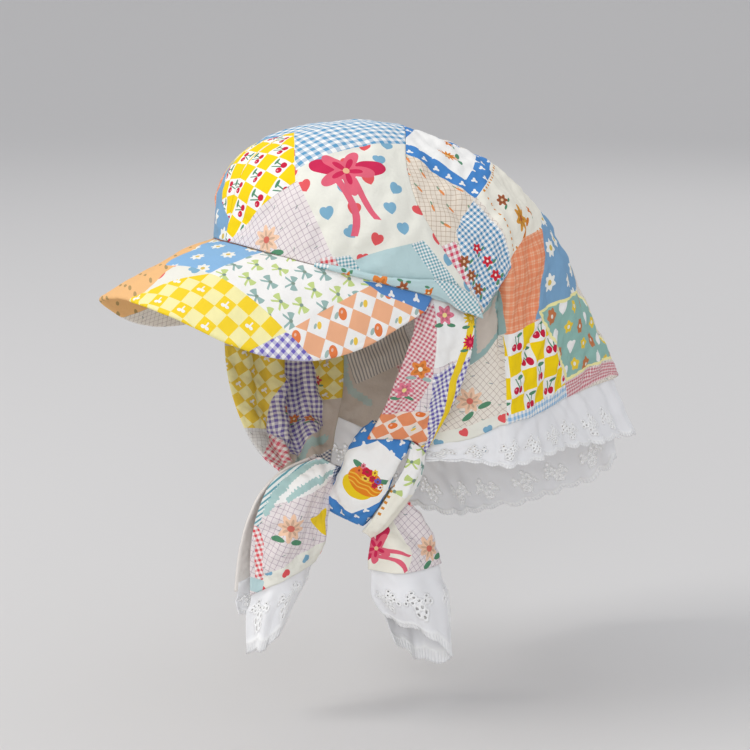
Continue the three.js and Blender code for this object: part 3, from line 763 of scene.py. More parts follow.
def bow_at(x, y, at_x, at_y, size):
    """1 inside a small ribbon bow: two loops that widen outwards and two short tails that spread downwards."""
    a, b = abs(x - at_x) / size, (y - at_y) / size
    loops = (abs(b - a * 0.12) < a * 0.42 + 0.06) * (a + b * b * 0.7 < 0.92)
    tails = (abs(a + b * 0.8) < 0.14) * (b < 0.0) * (b > -0.8)
    return loops.most(tails)


def cherries(p, x, y, size, _):
    """Two cherries on their stems under a leaf, about size mm tall."""
    p.paint(GREEN, ((abs(x + y * 0.45 + size * 0.02) < size * 0.035) * (y > -0.2 * size) * (y < 0.34 * size)))
    p.paint(GREEN, ((abs(x - y * 0.1 - size * 0.15) < size * 0.035) * (y > -0.2 * size) * (y < 0.34 * size)))
    p.paint(GREEN, oval(x, y, 0.22 * size, 0.3 * size, 0.22 * size, 0.09 * size, -0.5))
    p.paint(RED, oval(x, y, -0.17 * size, -0.2 * size, 0.17 * size, 0.17 * size))
    p.paint(RED, oval(x, y, 0.2 * size, -0.24 * size, 0.17 * size, 0.17 * size))
    p.paint((0.85, 0.35, 0.40), oval(x, y, -0.21 * size, -0.15 * size, 0.05 * size, 0.05 * size))


def draw_gingham(p, colour, size, ground=WHITE):
    """Gingham: bands both ways, half as strong where only one of them crosses the ground."""
    p.ground(ground)
    bands = ((p.x / size).part() < 0.5) * 0.5 + ((p.y / size).part() < 0.5) * 0.5
    p.paint(colour, bands * 0.97)


def draw_plaid(p, colour, size, ground):
    """Loose plaid: bands of two widths both ways, softly laid over each other."""
    p.ground(ground)
    for q in (p.x, p.y):
        p.paint(colour, ((q / size).part() < 0.5) * 0.45)
        p.paint(colour, ((q / size + 0.35).part() < 0.14) * 0.35)


def draw_check(p, one, two, size, mark=None):
    """Checks of two colours, each size mm, with a mark in the middle of every check of colour two. The
    mark is told whether its column is even, to change from one to the next."""
    p.ground(one)
    odd = (((p.x / size).floor() + (p.y / size).floor()) * 0.5).part() > 0.25
    p.paint(two, odd)
    if mark:
        x, y = ((p.x / size).part() - 0.5) * size, ((p.y / size).part() - 0.5) * size
        inner = Print(p.tree, x, y, p.colour)
        mark(inner, x, y, size, ((p.x / size).floor() * 0.5).part() < 0.25)
        p.paint(inner.colour, odd * inner.cover)


def fruit(p, x, y, size, even):
    """Orange fruit and smaller yellow fruit in turn, each with a grey-green leaf."""
    odd = even < 0.5
    p.paint(SAGE, oval(x, y, 0.16 * size, 0.23 * size, 0.2 * size, 0.1 * size, -0.4) * even)
    p.paint(ORANGE, oval(x, y, -0.05 * size, -0.05 * size, 0.31 * size, 0.24 * size, 0.3) * even)
    p.paint((0.88, 0.52, 0.40), oval(x, y, -0.12 * size, 0.02 * size, 0.09 * size, 0.06 * size) * even)
    p.paint(SAGE, oval(x, y, 0.1 * size, 0.15 * size, 0.15 * size, 0.07 * size, -0.4) * odd)
    p.paint((0.90, 0.60, 0.06), oval(x, y, -0.02 * size, -0.04 * size, 0.19 * size, 0.12 * size, 0.3) * odd)


def sprout(p, x, y, size, even):
    """Pale sprout, in every other column: two round leaves over a short stem."""
    p.paint(WHITE, oval(x, y, -0.13 * size, 0.1 * size, 0.15 * size, 0.12 * size) * even)
    p.paint(WHITE, oval(x, y, 0.15 * size, 0.06 * size, 0.14 * size, 0.11 * size) * even)
    p.paint(WHITE, (abs(x) < 0.05 * size) * (abs(y + 0.14 * size) < 0.18 * size) * even)


def draw_panes(p, line, size, ground, speck=None, mark=4.0):
    """Thin lines both ways, size mm apart, and small leaning sprigs mark mm tall, four lines apart."""
    p.ground(ground)
    for q in (p.x, p.y):
        p.paint(line, ((q / size).part() < 0.12) * 0.5)
    if speck:
        x, y, _, _ = p.cells(4 * size, 4 * size, 0.5, 0.3 * size)
        p.paint(speck, oval(x, y, 0.0, 0.0, 0.2 * mark, 0.5 * mark, 0.55))
        p.paint(GREEN, oval(x, y, -0.35 * mark, 0.6 * mark, 0.14 * mark, 0.3 * mark, 0.4) * 0.8)


def draw_hearts(p, ground, one, two, space, size):
    """Hearts of two colours in turn, in staggered rows."""
    p.ground(ground)
    x, y, column, row = p.cells(space, space * 0.85, 0.5, 0.16 * space)
    even = ((column + row) * 0.5).part() > 0.25
    where = heart_at(x, y, 0.0, 0.0, size)
    p.paint(one, where * even)
    p.paint(two, where * (even < 0.5))


def draw_daisies(p, ground, space, size):
    """White seven-petal daisies with yellow middles, in staggered rows."""
    p.ground(ground)
    x, y, _, _ = p.cells(space, space * 0.9, 0.5, 0.1 * space)
    p.paint((0.90, 0.90, 0.84), star_at(x, y, 0.0, 0.0, size, 7, 0.16))
    p.paint((0.72, 0.52, 0.12), oval(x, y, 0.0, 0.0, size * 0.3, size * 0.3))


def draw_mixed(p, ground, space, size):
    """White hearts, small yellow blossoms and small rust blossoms in turn."""
    p.ground(ground)
    x, y, column, row = p.cells(space, space * 0.82, 0.5, 0.08 * space)
    turn = ((column + row * 2.0) / 3.0).part()
    p.paint(WHITE, heart_at(x, y, 0.0, 0.0, size) * (turn < 0.2))
    p.paint((0.88, 0.62, 0.06), star_at(x, y, 0.0, 0.0, size * 0.95, 5, 0.14) * (turn > 0.2) * (turn < 0.5))
    p.paint((0.58, 0.20, 0.08), star_at(x, y, 0.0, 0.0, size * 1.15, 6, 0.12) * (turn > 0.5))
    p.paint(CREAM, oval(x, y, 0.0, 0.0, size * 0.28, size * 0.28) * (turn > 0.2))


def draw_bows(p, space, size):
    """Small ribbon bows on white, yellow-green and grey-green in turn, in staggered rows."""
    p.ground(WHITE)
    x, y, column, row = p.cells(space, space * 0.8, 0.5, 0.06 * space)
    even = (column * 0.5).part() > 0.25
    where = bow_at(x, y, 0.0, 0.0, size)
    p.paint((0.55, 0.68, 0.24), where * even)
    p.paint((0.30, 0.47, 0.44), where * (even < 0.5))
    p.paint((0.22, 0.32, 0.26), oval(x, y, 0.0, 0.0, size * 0.2, size * 0.2))


def draw_stripes(p, ground, colour, size):
    """Even stripes."""
    p.ground(ground)
    p.paint(colour, (p.x / size).part() < 0.42)


def draw_border(p, ground, space):
    """A band of colour with small white clover marks along it."""
    p.ground(ground)
    x, y, _, _ = p.cells(space, space * 0.9, 0.5)
    p.paint(WHITE, star_at(x, y, 0.0, 0.0, space * 0.25, 3, 0.28))


def draw_plain(p, colour):
    """One colour."""
    p.ground(colour)


def draw_dashes(p, ground, colour, space):
    """Small leaning dashes in staggered rows."""
    p.ground(ground)
    x, y, _, _ = p.cells(space, space * 0.8, 0.5)
    p.paint(colour, oval(x, y, 0.0, 0.0, space * 0.09, space * 0.2, 0.8))


def draw_blossom(p, petal, middle, size, petals=6, leaf=GREEN):
    """One large blossom in the middle of its patch, with darker inner petals and two leaves."""
    p.ground(petal)
    x, y = p.x - size, p.y - size
    leaves = oval(x, y, -0.5 * size, -0.62 * size, 0.34 * size, 0.15 * size, -0.6).most(
        oval(x, y, 0.5 * size, -0.62 * size, 0.34 * size, 0.15 * size, 0.6))
    outer = star_at(x, y, 0.0, 0.08 * size, 0.72 * size, petals, 0.2)
    p.paint(leaf, leaves)
    p.paint(petal, outer)
    p.paint(tuple(0.72 * c for c in petal), star_at(x, y, 0.0, 0.08 * size, 0.46 * size, petals, 0.34))
    p.paint(middle, oval(x, y, 0.0, 0.08 * size, 0.16 * size, 0.16 * size))
    p.cover = leaves.most(outer)


def draw_streamers(p, colour, dark, size):
    """One large five-petal blossom, high and to the left, above two long curling ribbons."""
    p.ground(colour)
    x, y = p.x - size, p.y - size
    curl = (y / size * 2.6).sine() * (0.2 * size)
    knots = oval(x, y, -0.5 * size, 0.5 * size, 0.3 * size, 0.2 * size, 0.5).most(
        oval(x, y, 0.42 * size, 0.55 * size, 0.34 * size, 0.2 * size, -0.4))
    tails = (abs(x + y * 0.1 + curl + 0.12 * size) < 0.08 * size).most(
        (abs(x + y * 0.8 - 0.2 * size - curl * 0.6) < 0.075 * size) * (y > -0.62 * size))
    tails = tails * (y < 0.25 * size) * (y > -0.98 * size)
    petals = star_at(x, y, -0.06 * size, 0.42 * size, 0.6 * size, 5, 0.3)
    inner = star_at(x, y, -0.06 * size, 0.42 * size, 0.34 * size, 5, 0.42)
    p.paint(colour, tails)
    p.paint(dark, knots)
    p.paint(colour, petals)
    p.paint(dark, inner)
    p.paint((0.86, 0.52, 0.30), oval(x, y, -0.06 * size, 0.42 * size, 0.07 * size, 0.07 * size))
    p.cover = tails.most(petals).most(knots)


def draw_bowl(p, size):
    """A round yellow dish under a heap of orange, red and violet fruit and blossom, with two leaves."""
    p.ground((0.86, 0.60, 0.02))
    x, y = p.x - size, p.y - size
    dish = oval(x, y, -0.18 * size, -0.34 * size, 0.72 * size, 0.52 * size)
    heap = oval(x, y, 0.0, 0.02 * size, 0.82 * size, 0.56 * size, 0.1)
    leaves = oval(x, y, -0.62 * size, 0.5 * size, 0.3 * size, 0.13 * size, 0.7).most(
        oval(x, y, 0.7 * size, 0.42 * size, 0.28 * size, 0.13 * size, -0.6))
    p.paint((0.80, 0.24, 0.02), heap)
    for row in (-0.3, -0.12, 0.06):
        bands = (abs(y - row * size - (x / size * 9.0).sine() * (0.03 * size)) < 0.03 * size) * heap
        p.paint((0.90, 0.50, 0.06), bands)
    p.paint(GREEN, leaves)
    top = None
    for at_x, at_y, radius, colour in (
            (-0.5, 0.3, 0.2, ORANGE), (-0.18, 0.42, 0.2, RED), (0.14, 0.3, 0.18, RED),
            (0.42, 0.3, 0.17, VIOLET), (0.1, 0.56, 0.16, (0.9, 0.62, 0.05)), (-0.42, 0.56, 0.14, PINK),
            (0.4, 0.08, 0.15, RED), (0.66, 0.12, 0.13, (0.90, 0.86, 0.78)),
            (-0.1, 0.14, 0.13, (0.90, 0.62, 0.08))):
        blob = star_at(x, y, at_x * size, at_y * size, radius * size, 6, 0.12)
        p.paint(colour, blob)
        p.paint((0.30, 0.06, 0.03), oval(x, y, at_x * size, at_y * size, 0.05 * size, 0.05 * size))
        top = blob if top is None else top.most(blob)
    p.cover = dish.most(heap).most(leaves).most(top)


# The prints: name, how it is drawn, and its numbers
PRINTS = {
    "blue_gingham": (draw_gingham, (0.10, 0.33, 0.56), 6.2),
    "deep_gingham": (draw_gingham, (0.04, 0.25, 0.48), 3.1),
    "light_gingham": (draw_gingham, (0.26, 0.50, 0.76), 4.2),
    "navy_gingham": (draw_gingham, (0.03, 0.08, 0.22), 2.8),
    "pink_gingham": (draw_gingham, ROSE, 4.2),
    "rose_gingham": (draw_gingham, (0.58, 0.10, 0.15), 2.6, (0.90, 0.78, 0.76)),
    "red_gingham": (draw_gingham, (0.75, 0.06, 0.08), 3.4),
    "violet_gingham": (draw_gingham, (0.13, 0.10, 0.50), 4.6),
    "fine_violet_gingham": (draw_gingham, (0.10, 0.07, 0.40), 3.6),
    "teal_gingham": (draw_gingham, (0.10, 0.36, 0.44), 2.2),
    "coral_plaid": (draw_plaid, (0.82, 0.17, 0.05), 5.4, (0.93, 0.52, 0.33)),
    "cherry_check": (draw_check, SUN, WHITE, 12.0, cherries),
    "wide_cherry_check": (draw_check, SUN, WHITE, 14.5, cherries),
    "yellow_check": (draw_check, SUN, PALE_YELLOW, 7.6),
    "yellow_sprouts": (draw_check, PALE_YELLOW, SUN, 9.4, sprout),
    "small_sprouts": (draw_check, PALE_YELLOW, (0.86, 0.60, 0.02), 8.0, sprout),
    "fruit_check": (draw_check, (0.90, 0.45, 0.25), WHITE, 12.0, fruit),
    "small_fruit_check": (draw_check, (0.84, 0.30, 0.14), (0.92, 0.78, 0.68), 9.5, fruit),
    "pink_panes": (draw_panes, (0.30, 0.20, 0.28), 3.6, PALE_PINK, GREY, 1.8),
    "peach_panes": (draw_panes, (0.34, 0.20, 0.10), 3.3, PALE_PEACH, (0.84, 0.30, 0.10), 5.0),
    "cream_panes": (draw_panes, (0.36, 0.26, 0.22), 3.5, (0.86, 0.80, 0.71), GREY, 2.0),
    "grey_panes": (draw_panes, (0.30, 0.28, 0.30), 2.6, (0.76, 0.77, 0.76), GREY, 1.6),
    "hearts": (draw_hearts, CREAM, HEART_RED, HEART_BLUE, 19.5, 4.2),
    "small_hearts": (draw_hearts, CREAM, HEART_RED, HEART_BLUE, 15.0, 3.2),
    "slate_daisies": (draw_daisies, (0.22, 0.40, 0.60), 24.0, 6.2),
    "blue_daisies": (draw_daisies, (0.24, 0.48, 0.76), 20.0, 4.8),
    "mint_mixed": (draw_mixed, (0.31, 0.53, 0.47), 18.0, 4.8),
    "bows": (draw_bows, 14.5, 6.0),
    "blue_border": (draw_border, (0.07, 0.25, 0.60), 9.5),
    "white": (draw_plain, WHITE),
    "cream": (draw_plain, (0.90, 0.87, 0.76)),
    "sage": (draw_plain, (0.42, 0.60, 0.58)),
    "peach": (draw_dashes, (0.90, 0.52, 0.22), (0.45, 0.30, 0.12), 15.0),
    "orange_dashes": (draw_stripes, (0.90, 0.87, 0.76), (0.72, 0.28, 0.04), 4.2),
    "beige": (draw_plain, STONE),
    "grey_stripes": (draw_stripes, (0.78, 0.74, 0.68), (0.22, 0.24, 0.25), 2.6),
    "teal_stripes": (draw_stripes, (0.80, 0.83, 0.80), (0.14, 0.36, 0.42), 2.6),
    "pale_aqua": (draw_plain, (0.52, 0.69, 0.70)),
    "yellow": (draw_plain, (0.90, 0.64, 0.03)),
    "pink_blossom": (draw_blossom, (0.80, 0.22, 0.30), (0.9, 0.75, 0.3), 9.0),
    "red_flower": (draw_blossom, (0.72, 0.03, 0.05), (0.92, 0.86, 0.80), 5.2, 5),
    "orange_flower": (draw_blossom, (0.80, 0.22, 0.04), (0.92, 0.82, 0.50), 5.0, 5),
    "wide_orange_flower": (draw_blossom, (0.82, 0.26, 0.06), (0.94, 0.88, 0.70), 9.5, 5, SAGE),
    "rust_flower": (draw_blossom, (0.40, 0.12, 0.05), (0.85, 0.62, 0.40), 5.8, 6),
    "autumn_flower": (draw_blossom, (0.74, 0.34, 0.05), (0.50, 0.10, 0.04), 12.5, 7, (0.70, 0.22, 0.03)),
    "fruit_bowl": (draw_bowl, 15.5),
    "yellow_ball": (draw_blossom, (0.86, 0.58, 0.03), (0.88, 0.66, 0.2), 8.0, 12),
    "red_ball": (draw_blossom, (0.75, 0.02, 0.08), (0.80, 0.10, 0.15), 7.5, 12),
    "orange_ball": (draw_blossom, (0.78, 0.26, 0.03), (0.90, 0.66, 0.30), 11.0, 16),
    "peach_blossom": (draw_blossom, (0.90, 0.60, 0.42), (0.66, 0.16, 0.12), 13.0, 8),
    "pink_streamers": (draw_streamers, (0.80, 0.14, 0.21), (0.64, 0.03, 0.10), 30.0),
    "small_streamers": (draw_streamers, (0.80, 0.14, 0.21), (0.64, 0.03, 0.10), 19.0),
}
# Prints of one drawing, which covers no more than its own outline
SINGLES = {draw_blossom, draw_streamers, draw_bowl}
BASE_TURN = 0.15      # angle of the print under the patches
drawn = {}            # node groups made so far, by print


def print_group(name):
    """Node group that turns a place on the cloth in mm into the colour and cover of that print."""
    if name in drawn:
        return drawn[name]
    tree = bpy.data.node_groups.new("print " + name, "ShaderNodeTree")
    tree.interface.new_socket("Place", in_out="INPUT", socket_type="NodeSocketVector")
    tree.interface.new_socket("Colour", in_out="OUTPUT", socket_type="NodeSocketColor")
    tree.interface.new_socket("Cover", in_out="OUTPUT", socket_type="NodeSocketFloat")
    start, end = tree.nodes.new("NodeGroupInput"), tree.nodes.new("NodeGroupOutput")
    p = Print(tree, *along_and_across(tree, start.outputs[0]))
    draw, *numbers = PRINTS[name]
    draw(p, *numbers)
    tree.links.new(p.colour, end.inputs[0])
    if draw in SINGLES:
        tree.links.new(p.cover.socket, end.inputs[1])
    else:
        end.inputs[1].default_value = 1.0
    drawn[name] = tree
    return tree


def patchwork(piece, base, patches):
    """Node group with the patches of one piece, later ones over earlier ones. A patch row is its print,
    its corners on the flat cloth in mm, and its options. The print starts at the first corner and runs
    along the first side, or at the angle named turn."""
    tree = bpy.data.node_groups.new("patchwork " + piece, "ShaderNodeTree")
    tree.interface.new_socket("Colour", in_out="OUTPUT", socket_type="NodeSocketColor")
    end = tree.nodes.new("NodeGroupOutput")
    cloth = add_node(tree, "UVMap", uv_map="flat")

    def laid(name, corner, turn):
        """The print of that name, started at a corner and turned by an angle."""
        c, s = np.cos(-turn), np.sin(-turn)
        start = (-(c * corner[0] - s * corner[1]), -(s * corner[0] + c * corner[1]), 0)
        spin = add_node(tree, "Mapping",
                        {"Vector": cloth.outputs[0], "Rotation": (0, 0, -turn), "Location": start})
        return add_node(tree, "Group", {0: spin.outputs[0]}, node_tree=print_group(name))

    p = Print(tree, *along_and_across(tree, cloth.outputs[0]), laid(base, (0.0, 0.0), BASE_TURN).outputs[0])
    for k, (name, corners, *options) in enumerate(patches):
        options = options[0] if options else {}
        a, b = corners[0], corners[1]
        turn = np.radians(options["turn"]) if "turn" in options else np.arctan2(b[1] - a[1], b[0] - a[0])
        node = laid(name, a, turn)
        depth = add_node(tree, "Attribute", attribute_name=f"patch_{k:02d}")
        inside = Number(tree, depth.outputs["Fac"])
        if "wavy" in options:
            inside = inside + (p.x * options["wavy"]).sine() * (p.y * options["wavy"]).sine() * 0.8
        p.paint(node.outputs[0], (inside > 0.0) * Number(tree, node.outputs[1]))
        if "border" in options:
            width, colour = options["border"]
            wavy = ((p.x + p.y) * 1.5).sine() * 0.3 + width
            p.paint(colour, (inside > 0.0) * (inside < wavy))
    tree.links.new(p.colour, end.inputs[0])
    return tree


def new_material(name, roughness, specular):
    """A material with those numbers on its shader: the material, its tree and its shader."""
    material = bpy.data.materials.new(name)
    material.use_nodes = True
    shader = material.node_tree.nodes["Principled BSDF"]
    shader.inputs["Roughness"].default_value = roughness
    shader.inputs["Specular IOR Level"].default_value = specular
    return material, material.node_tree, shader


def bump(tree, height, strength, distance, under=None):
    """The normal raised by a height socket, on top of the normal under it; distance is in metres."""
    inputs = {"Strength": strength, "Distance": distance, "Height": height}
    return add_node(tree, "Bump", {**inputs, "Normal": under} if under else inputs).outputs[0]


# Colour of the wrong side: the print's paler reverse, darkened to a beige-grey as painted shade of the cap's
# inside
WRONG_SIDE_AND_SHADE = (0.62, 0.50, 0.42, 1)


def cloth_material(name, patch_tree, pale_and_shade_share):
    """Matt cotton: the patchwork, mixed by the given share with the colour of the wrong side, a beige-grey
    that is the print's paler reverse and painted shade of the cap's inside, with a fine weave and soft
    crinkles in its bump."""
    material, tree, shader = new_material(name, 0.92, 0.12)
    shader.inputs["Base Color"].default_value = (0.88, 0.86, 0.80, 1)
    group = add_node(tree, "Group", node_tree=patch_tree)
    tree.links.new(mixed(tree, pale_and_shade_share, group.outputs[0], WRONG_SIDE_AND_SHADE), shader.inputs["Base Color"])
    place = add_node(tree, "TexCoord").outputs["Object"]
    weave = add_node(tree, "TexNoise", {"Vector": place, "Scale": 1400, "Detail": 1})
    crinkle = add_node(tree, "TexNoise", {"Vector": place, "Scale": 70, "Detail": 4, "Roughness": 0.55})
    normal = bump(tree, crinkle.outputs[0], 0.55, 0.0022)
    normal = bump(tree, weave.outputs[0], 0.25, 0.0002, normal)
    tree.links.new(normal, shader.inputs["Normal"])
    return material


def square(x, y, side):
    """Corners of a square patch from its lower left corner."""
    return [(x, y), (x + side, y), (x + side, y + side), (x, y + side)]


# Patches of each piece on its flat cloth, in mm: print, corners (or the path of a strip), and options:
# border (width, colour), strip (its width), wavy (waves along its edges), turn (angle of the print).
# Later rows lie over earlier ones.

CROWN_PATCHES = [
    ("cherry_check", [(-40, 34), (63, 77), (57, 131), (52, 190), (-40, 190)], {"turn": 48}),
    ("blue_gingham", [(62, 79), (123, 118), (200, 160), (200, 200), (52, 200), (57, 131)]),
    ("pink_panes", [(63, 77), (86, 20), (40, -5), (-40, -5), (-40, 34)]),
    ("pale_aqua", [(89, 23), (135, 40), (170, 4), (130, -15), (85, -15)]),
    ("teal_gingham", [(133, 39), (142, 43), (176, 8), (164, 2)]),
    ("red_gingham", [(74, 28), (84, 29), (92, 15), (77, 12)]),
    ("teal_gingham", [(84, 28), (94, 29), (104, 14), (90, 12)]),
    ("peach_blossom", square(26, 31, 26)),
    ("pink_streamers", square(64, 40, 60)),
]
CROWN_RIGHT_PATCHES = [
    ("yellow_check", [(44, 104), (48, 78), (88, 84), (84, 112)]),
    ("hearts", [(88, 84), (84, 112), (140, 140), (200, 140), (200, 70), (96, 58)]),
    ("pink_panes", [(96, 58), (200, 70), (200, -20), (100, -20)]),
    ("mint_mixed", [(-40, 30), (30, 44), (60, -20), (-40, -20)], {"border": (1.6, PALE_YELLOW)}),
    ("coral_plaid", [(30, 44), (48, 78), (88, 84), (100, -20), (58, -20)]),
    ("cherry_check", [(-40, 66), (26, 70), (50, 100), (57, 131), (52, 200), (-40, 200)], {"turn": 48}),
    ("blue_gingham", [(50, 100), (84, 112), (200, 158), (200, 220), (52, 200), (57, 131)]),
]
PEAK_PATCHES = [
    ("hearts", [(92, 40), (40, 44), (10, 40), (20, -10), (106, -10)]),
    ("peach", [(143, 165), (92, 30), (0, 40), (50, 200), (130, 200)]),
    ("yellow_sprouts", [(160, 125), (215, 101), (225, 129), (212, 190), (122, 205)]),
    ("bows", [(160, 125), (215, 101), (204, 18), (150, 58)], {"turn": 180}),
    ("blue_daisies", [(160, 125), (150, 58), (98, 72), (123, 138)]),
    ("violet_gingham", [(215, 101), (262, 78), (262, 140), (218, 128)]),
    ("fruit_check", [(203, 31), (215, 101), (262, 78), (262, -10), (226, -10)], {"turn": 38}),
    ("white", [(202, 36), (207, 26), (228, -10), (200, -10)]),
    ("blue_border", [(200, 42), (211, 34), (236, -4), (222, -6)]),
    ("cream_panes", [(30, 92), (40, 200), (-40, 200), (-40, 30), (6, 36)]),
]
BAND_PATCHES = [
    ("teal_gingham", [(-10, 33), (11, 0), (20, 10), (-2, 46)]),
    ("wide_orange_flower", [(0, 84), (0, 66), (18, 66), (18, 84)], {"turn": -90}),
    ("rust_flower", [(3, 66), (3, 56), (13, 56), (13, 66)]),
    ("orange_flower", [(4, 47), (4, 40), (12, 40), (12, 47)]),
    ("orange_flower", [(5, 101), (5, 93), (13, 93), (13, 101)]),
    ("teal_gingham", [(-8, 150), (-8, 108), (20, 108), (20, 150)]),
]
VEIL_PATCHES = [
    ("peach_panes", [(160, 312), (208, 287), (139, 239), (106, 236), (76, 264)], {"turn": -62}),
    ("cream", [(143, 239), (122, 196), (178, 168), (215, 165), (205, 222)]),
    ("orange_dashes", [(146, 231), (128, 198)], {"strip": 1.6}),
    ("orange_dashes", [(129, 197), (178, 172)], {"strip": 1.6}),
    ("orange_dashes", [(148, 235), (200, 219)], {"strip": 1.6}),
    ("autumn_flower", square(140, 188, 25)),
    ("rust_flower", square(146, 214, 12)),
    ("orange_flower", square(166, 186, 10)),
    ("deep_gingham", [(139, 239), (122, 195), (112, 183), (82, 196), (89, 218), (113, 241)]),
    ("pink_gingham", [(76, 264), (107, 238), (88, 212), (56, 225)]),
    ("coral_plaid", [(144, 193), (172, 174), (121, 137), (95, 155), (112, 183), (122, 195)]),
    ("slate_daisies", [(170, 177), (122, 142), (196, 102), (215, 130), (215, 165)]),
    ("mint_mixed", [(127, 145), (196, 104), (230, 25), (142, 66)], {"border": (2.2, PALE_YELLOW)}),
    ("wide_cherry_check", [(95, 155), (128, 138), (141, 67), (137, 62), (67, 108)]),
    ("rose_gingham", [(140, 67), (235, 20), (228, 8), (138, 52)]),
    ("light_gingham", [(68, 108), (141, 64), (139, 51), (62, 101)]),
    ("teal_gingham", [(84, 196), (112, 184), (110, 178), (80, 188)]),
    ("beige", [(82, 184), (113, 184), (96, 155), (66, 153)], {"border": (4.0, (0.33, 0.48, 0.46))}),
    ("small_hearts", [(-20, 132), (68, 111), (62, 100), (-20, 96)]),
    ("blue_border", [(160, 300), (141, 238), (205, 221), (232, 282)]),
    ("white", [(171, 290), (153, 247), (198, 235), (218, 274)]),
    ("orange_ball", square(164, 248, 22)),
    ("orange_flower", square(188, 252, 8)),
    ("red_flower", square(106, 217, 11)),
    ("red_flower", square(104, 206, 11)),
    ("red_flower", square(101, 196, 11)),
    ("rust_flower", square(93, 220, 10)),
    ("rust_flower", square(89, 210, 10)),
    ("rust_flower", square(85, 201, 10)),
    ("peach_blossom", square(40, 118, 26)),
    ("beige", [(372, 176), (392, 118), (425, 90), (480, 90), (480, 210), (390, 210)]),
    ("sage", [(396, 172), (410, 166), (421, 155), (426, 142), (423, 126)], {"strip": 5.5, "wavy": 1.6}),
]
# Right half: print, middle, half length and half width of each patch, turned by 25 degrees
VEIL_RIGHT_PATCHES = [
    ("yellow_check", 252, 268, 24, 26), ("hearts", 300, 258, 26, 30), ("coral_plaid", 268, 214, 28, 26),
    ("blue_gingham", 322, 206, 28, 26), ("mint_mixed", 250, 160, 30, 26), ("pink_panes", 300, 150, 26, 28),
    ("grey_panes", 352, 158, 22, 30), ("cherry_check", 268, 104, 26, 28), ("peach_panes", 322, 98, 28, 28),
    ("rose_gingham", 372, 100, 22, 24), ("bows", 286, 50, 26, 28), ("light_gingham", 342, 44, 30, 26),
    ("grey_stripes", 392, 144, 20, 9), ("small_hearts", 372, 172, 18, 12),
]


def turned_patches(rows, degrees):
    """Patch rows for turned rectangles, from their middles and half sizes."""
    c, s = np.cos(np.radians(degrees)), np.sin(np.radians(degrees))
    return [(name, [(x + c * (a + 5) * i - s * (b + 4) * j, y + s * (a + 5) * i + c * (b + 4) * j)
                    for i, j in ((-1, -1), (1, -1), (1, 1), (-1, 1))]) for name, x, y, a, b in rows]


TIE_LEFT_PATCHES = [
    ("rose_gingham", [(10, 120), (29, 110), (30, 66), (20, 18), (-20, 18), (-20, 120)]),
    ("white", [(29, 125), (70, 125), (70, 80), (54, 76), (30, 66)]),
    ("fine_violet_gingham", [(30, 66), (54, 76), (70, 80), (50, -4), (40, -4), (33, 22)]),
    ("small_fruit_check", [(-20, 26), (33, 38), (38, 16), (44, -10), (-20, -10)], {"turn": 40}),
    ("yellow", [(57, 107), (52, 84), (46, 61), (47, 25), (46, -8)], {"strip": 4.5}),
    ("yellow_ball", square(47, 93, 16)),
    ("red_ball", square(47, 78, 15)),
    ("pink_blossom", square(27, 94, 18)),
    ("wide_orange_flower", square(12, 58, 19)),
    ("pink_blossom", square(5, 42, 18)),
]
TIE_RIGHT_PATCHES = [
    ("small_sprouts", [(-10, 150), (62, 152), (38, 92), (14, 88), (-10, 88)], {"turn": 36}),
    ("small_sprouts", [(76, 152), (110, 145), (100, 112), (84, 112)], {"turn": 36}),
    ("fine_violet_gingham", [(59, 142), (77, 142), (84, 121), (82, 93), (53, 69), (33, 90), (41, 112)]),
    ("grey_panes", [(0, 92), (34, 90), (42, 76), (25, 55), (0, 60)]),
    ("pink_gingham", [(37, 88), (48, 76), (46, 62), (28, 50), (22, 64)]),
    ("sage", [(50, 60), (64, 74), (80, 82)], {"strip": 6, "wavy": 1.6}),
    ("hearts", [(-10, 240), (110, 240), (110, 152), (-10, 152)]),
    ("light_gingham", [(0, 50), (110, 52), (110, 20), (0, 20)]),
    ("navy_gingham", [(52, 60), (80, 70), (80, 52), (54, 48)]),
    ("red_flower", square(78, 122, 10)),
    ("orange_flower", square(47, 100, 10)),
    ("orange_flower", square(57, 96, 10)),
    ("orange_flower", square(66, 91, 10)),
]
KNOT_PATCHES = [
    ("white", [(5, 48), (22, 65), (47, 58), (42, 27), (28, 12), (5, 15)]),
    ("fruit_bowl", square(10, 23, 31), {"turn": -6}),
]
LOOP_PATCHES = [
    ("bows", [(-10, 90), (40, 90), (40, 44), (-10, 34)]),
    ("orange_dashes", [(1, 46), (6, 18)], {"strip": 2.2}),
]
TAIL_LEFT_PATCHES = [
    ("white", [(-20, 130), (34, 130), (34, -20), (-20, -20)]),
    ("white", [(79, 108), (107, 86), (110, 68), (74, 88), (58, 98)]),
    ("teal_stripes", [(122, 52), (119, 70), (111, 88), (96, 102)], {"strip": 12, "turn": 40}),
    ("sage", [(113, 62), (109, 76), (101, 88), (88, 100), (72, 108)], {"strip": 4.6, "wavy": 1.8}),
    ("sage", [(101, 74), (96, 80), (89, 86), (74, 94), (62, 96)], {"strip": 4.2, "wavy": 1.8}),
    ("navy_gingham", [(58, 108), (72, 104), (66, 90), (52, 94)]),
    ("small_hearts", [(112, 24), (81, 38), (60, 54), (52, 40), (70, 10), (105, -6)]),
    ("red_gingham", [(118, 48), (113, 40), (111, 28), (108, 16)], {"strip": 6}),
    ("pale_aqua", [(104, 14), (114, 14), (114, 4), (104, 4)]),
    ("yellow", [(80, 62), (65, 70), (62, 50)]),
    ("peach_blossom", square(82, 42, 26)),
]
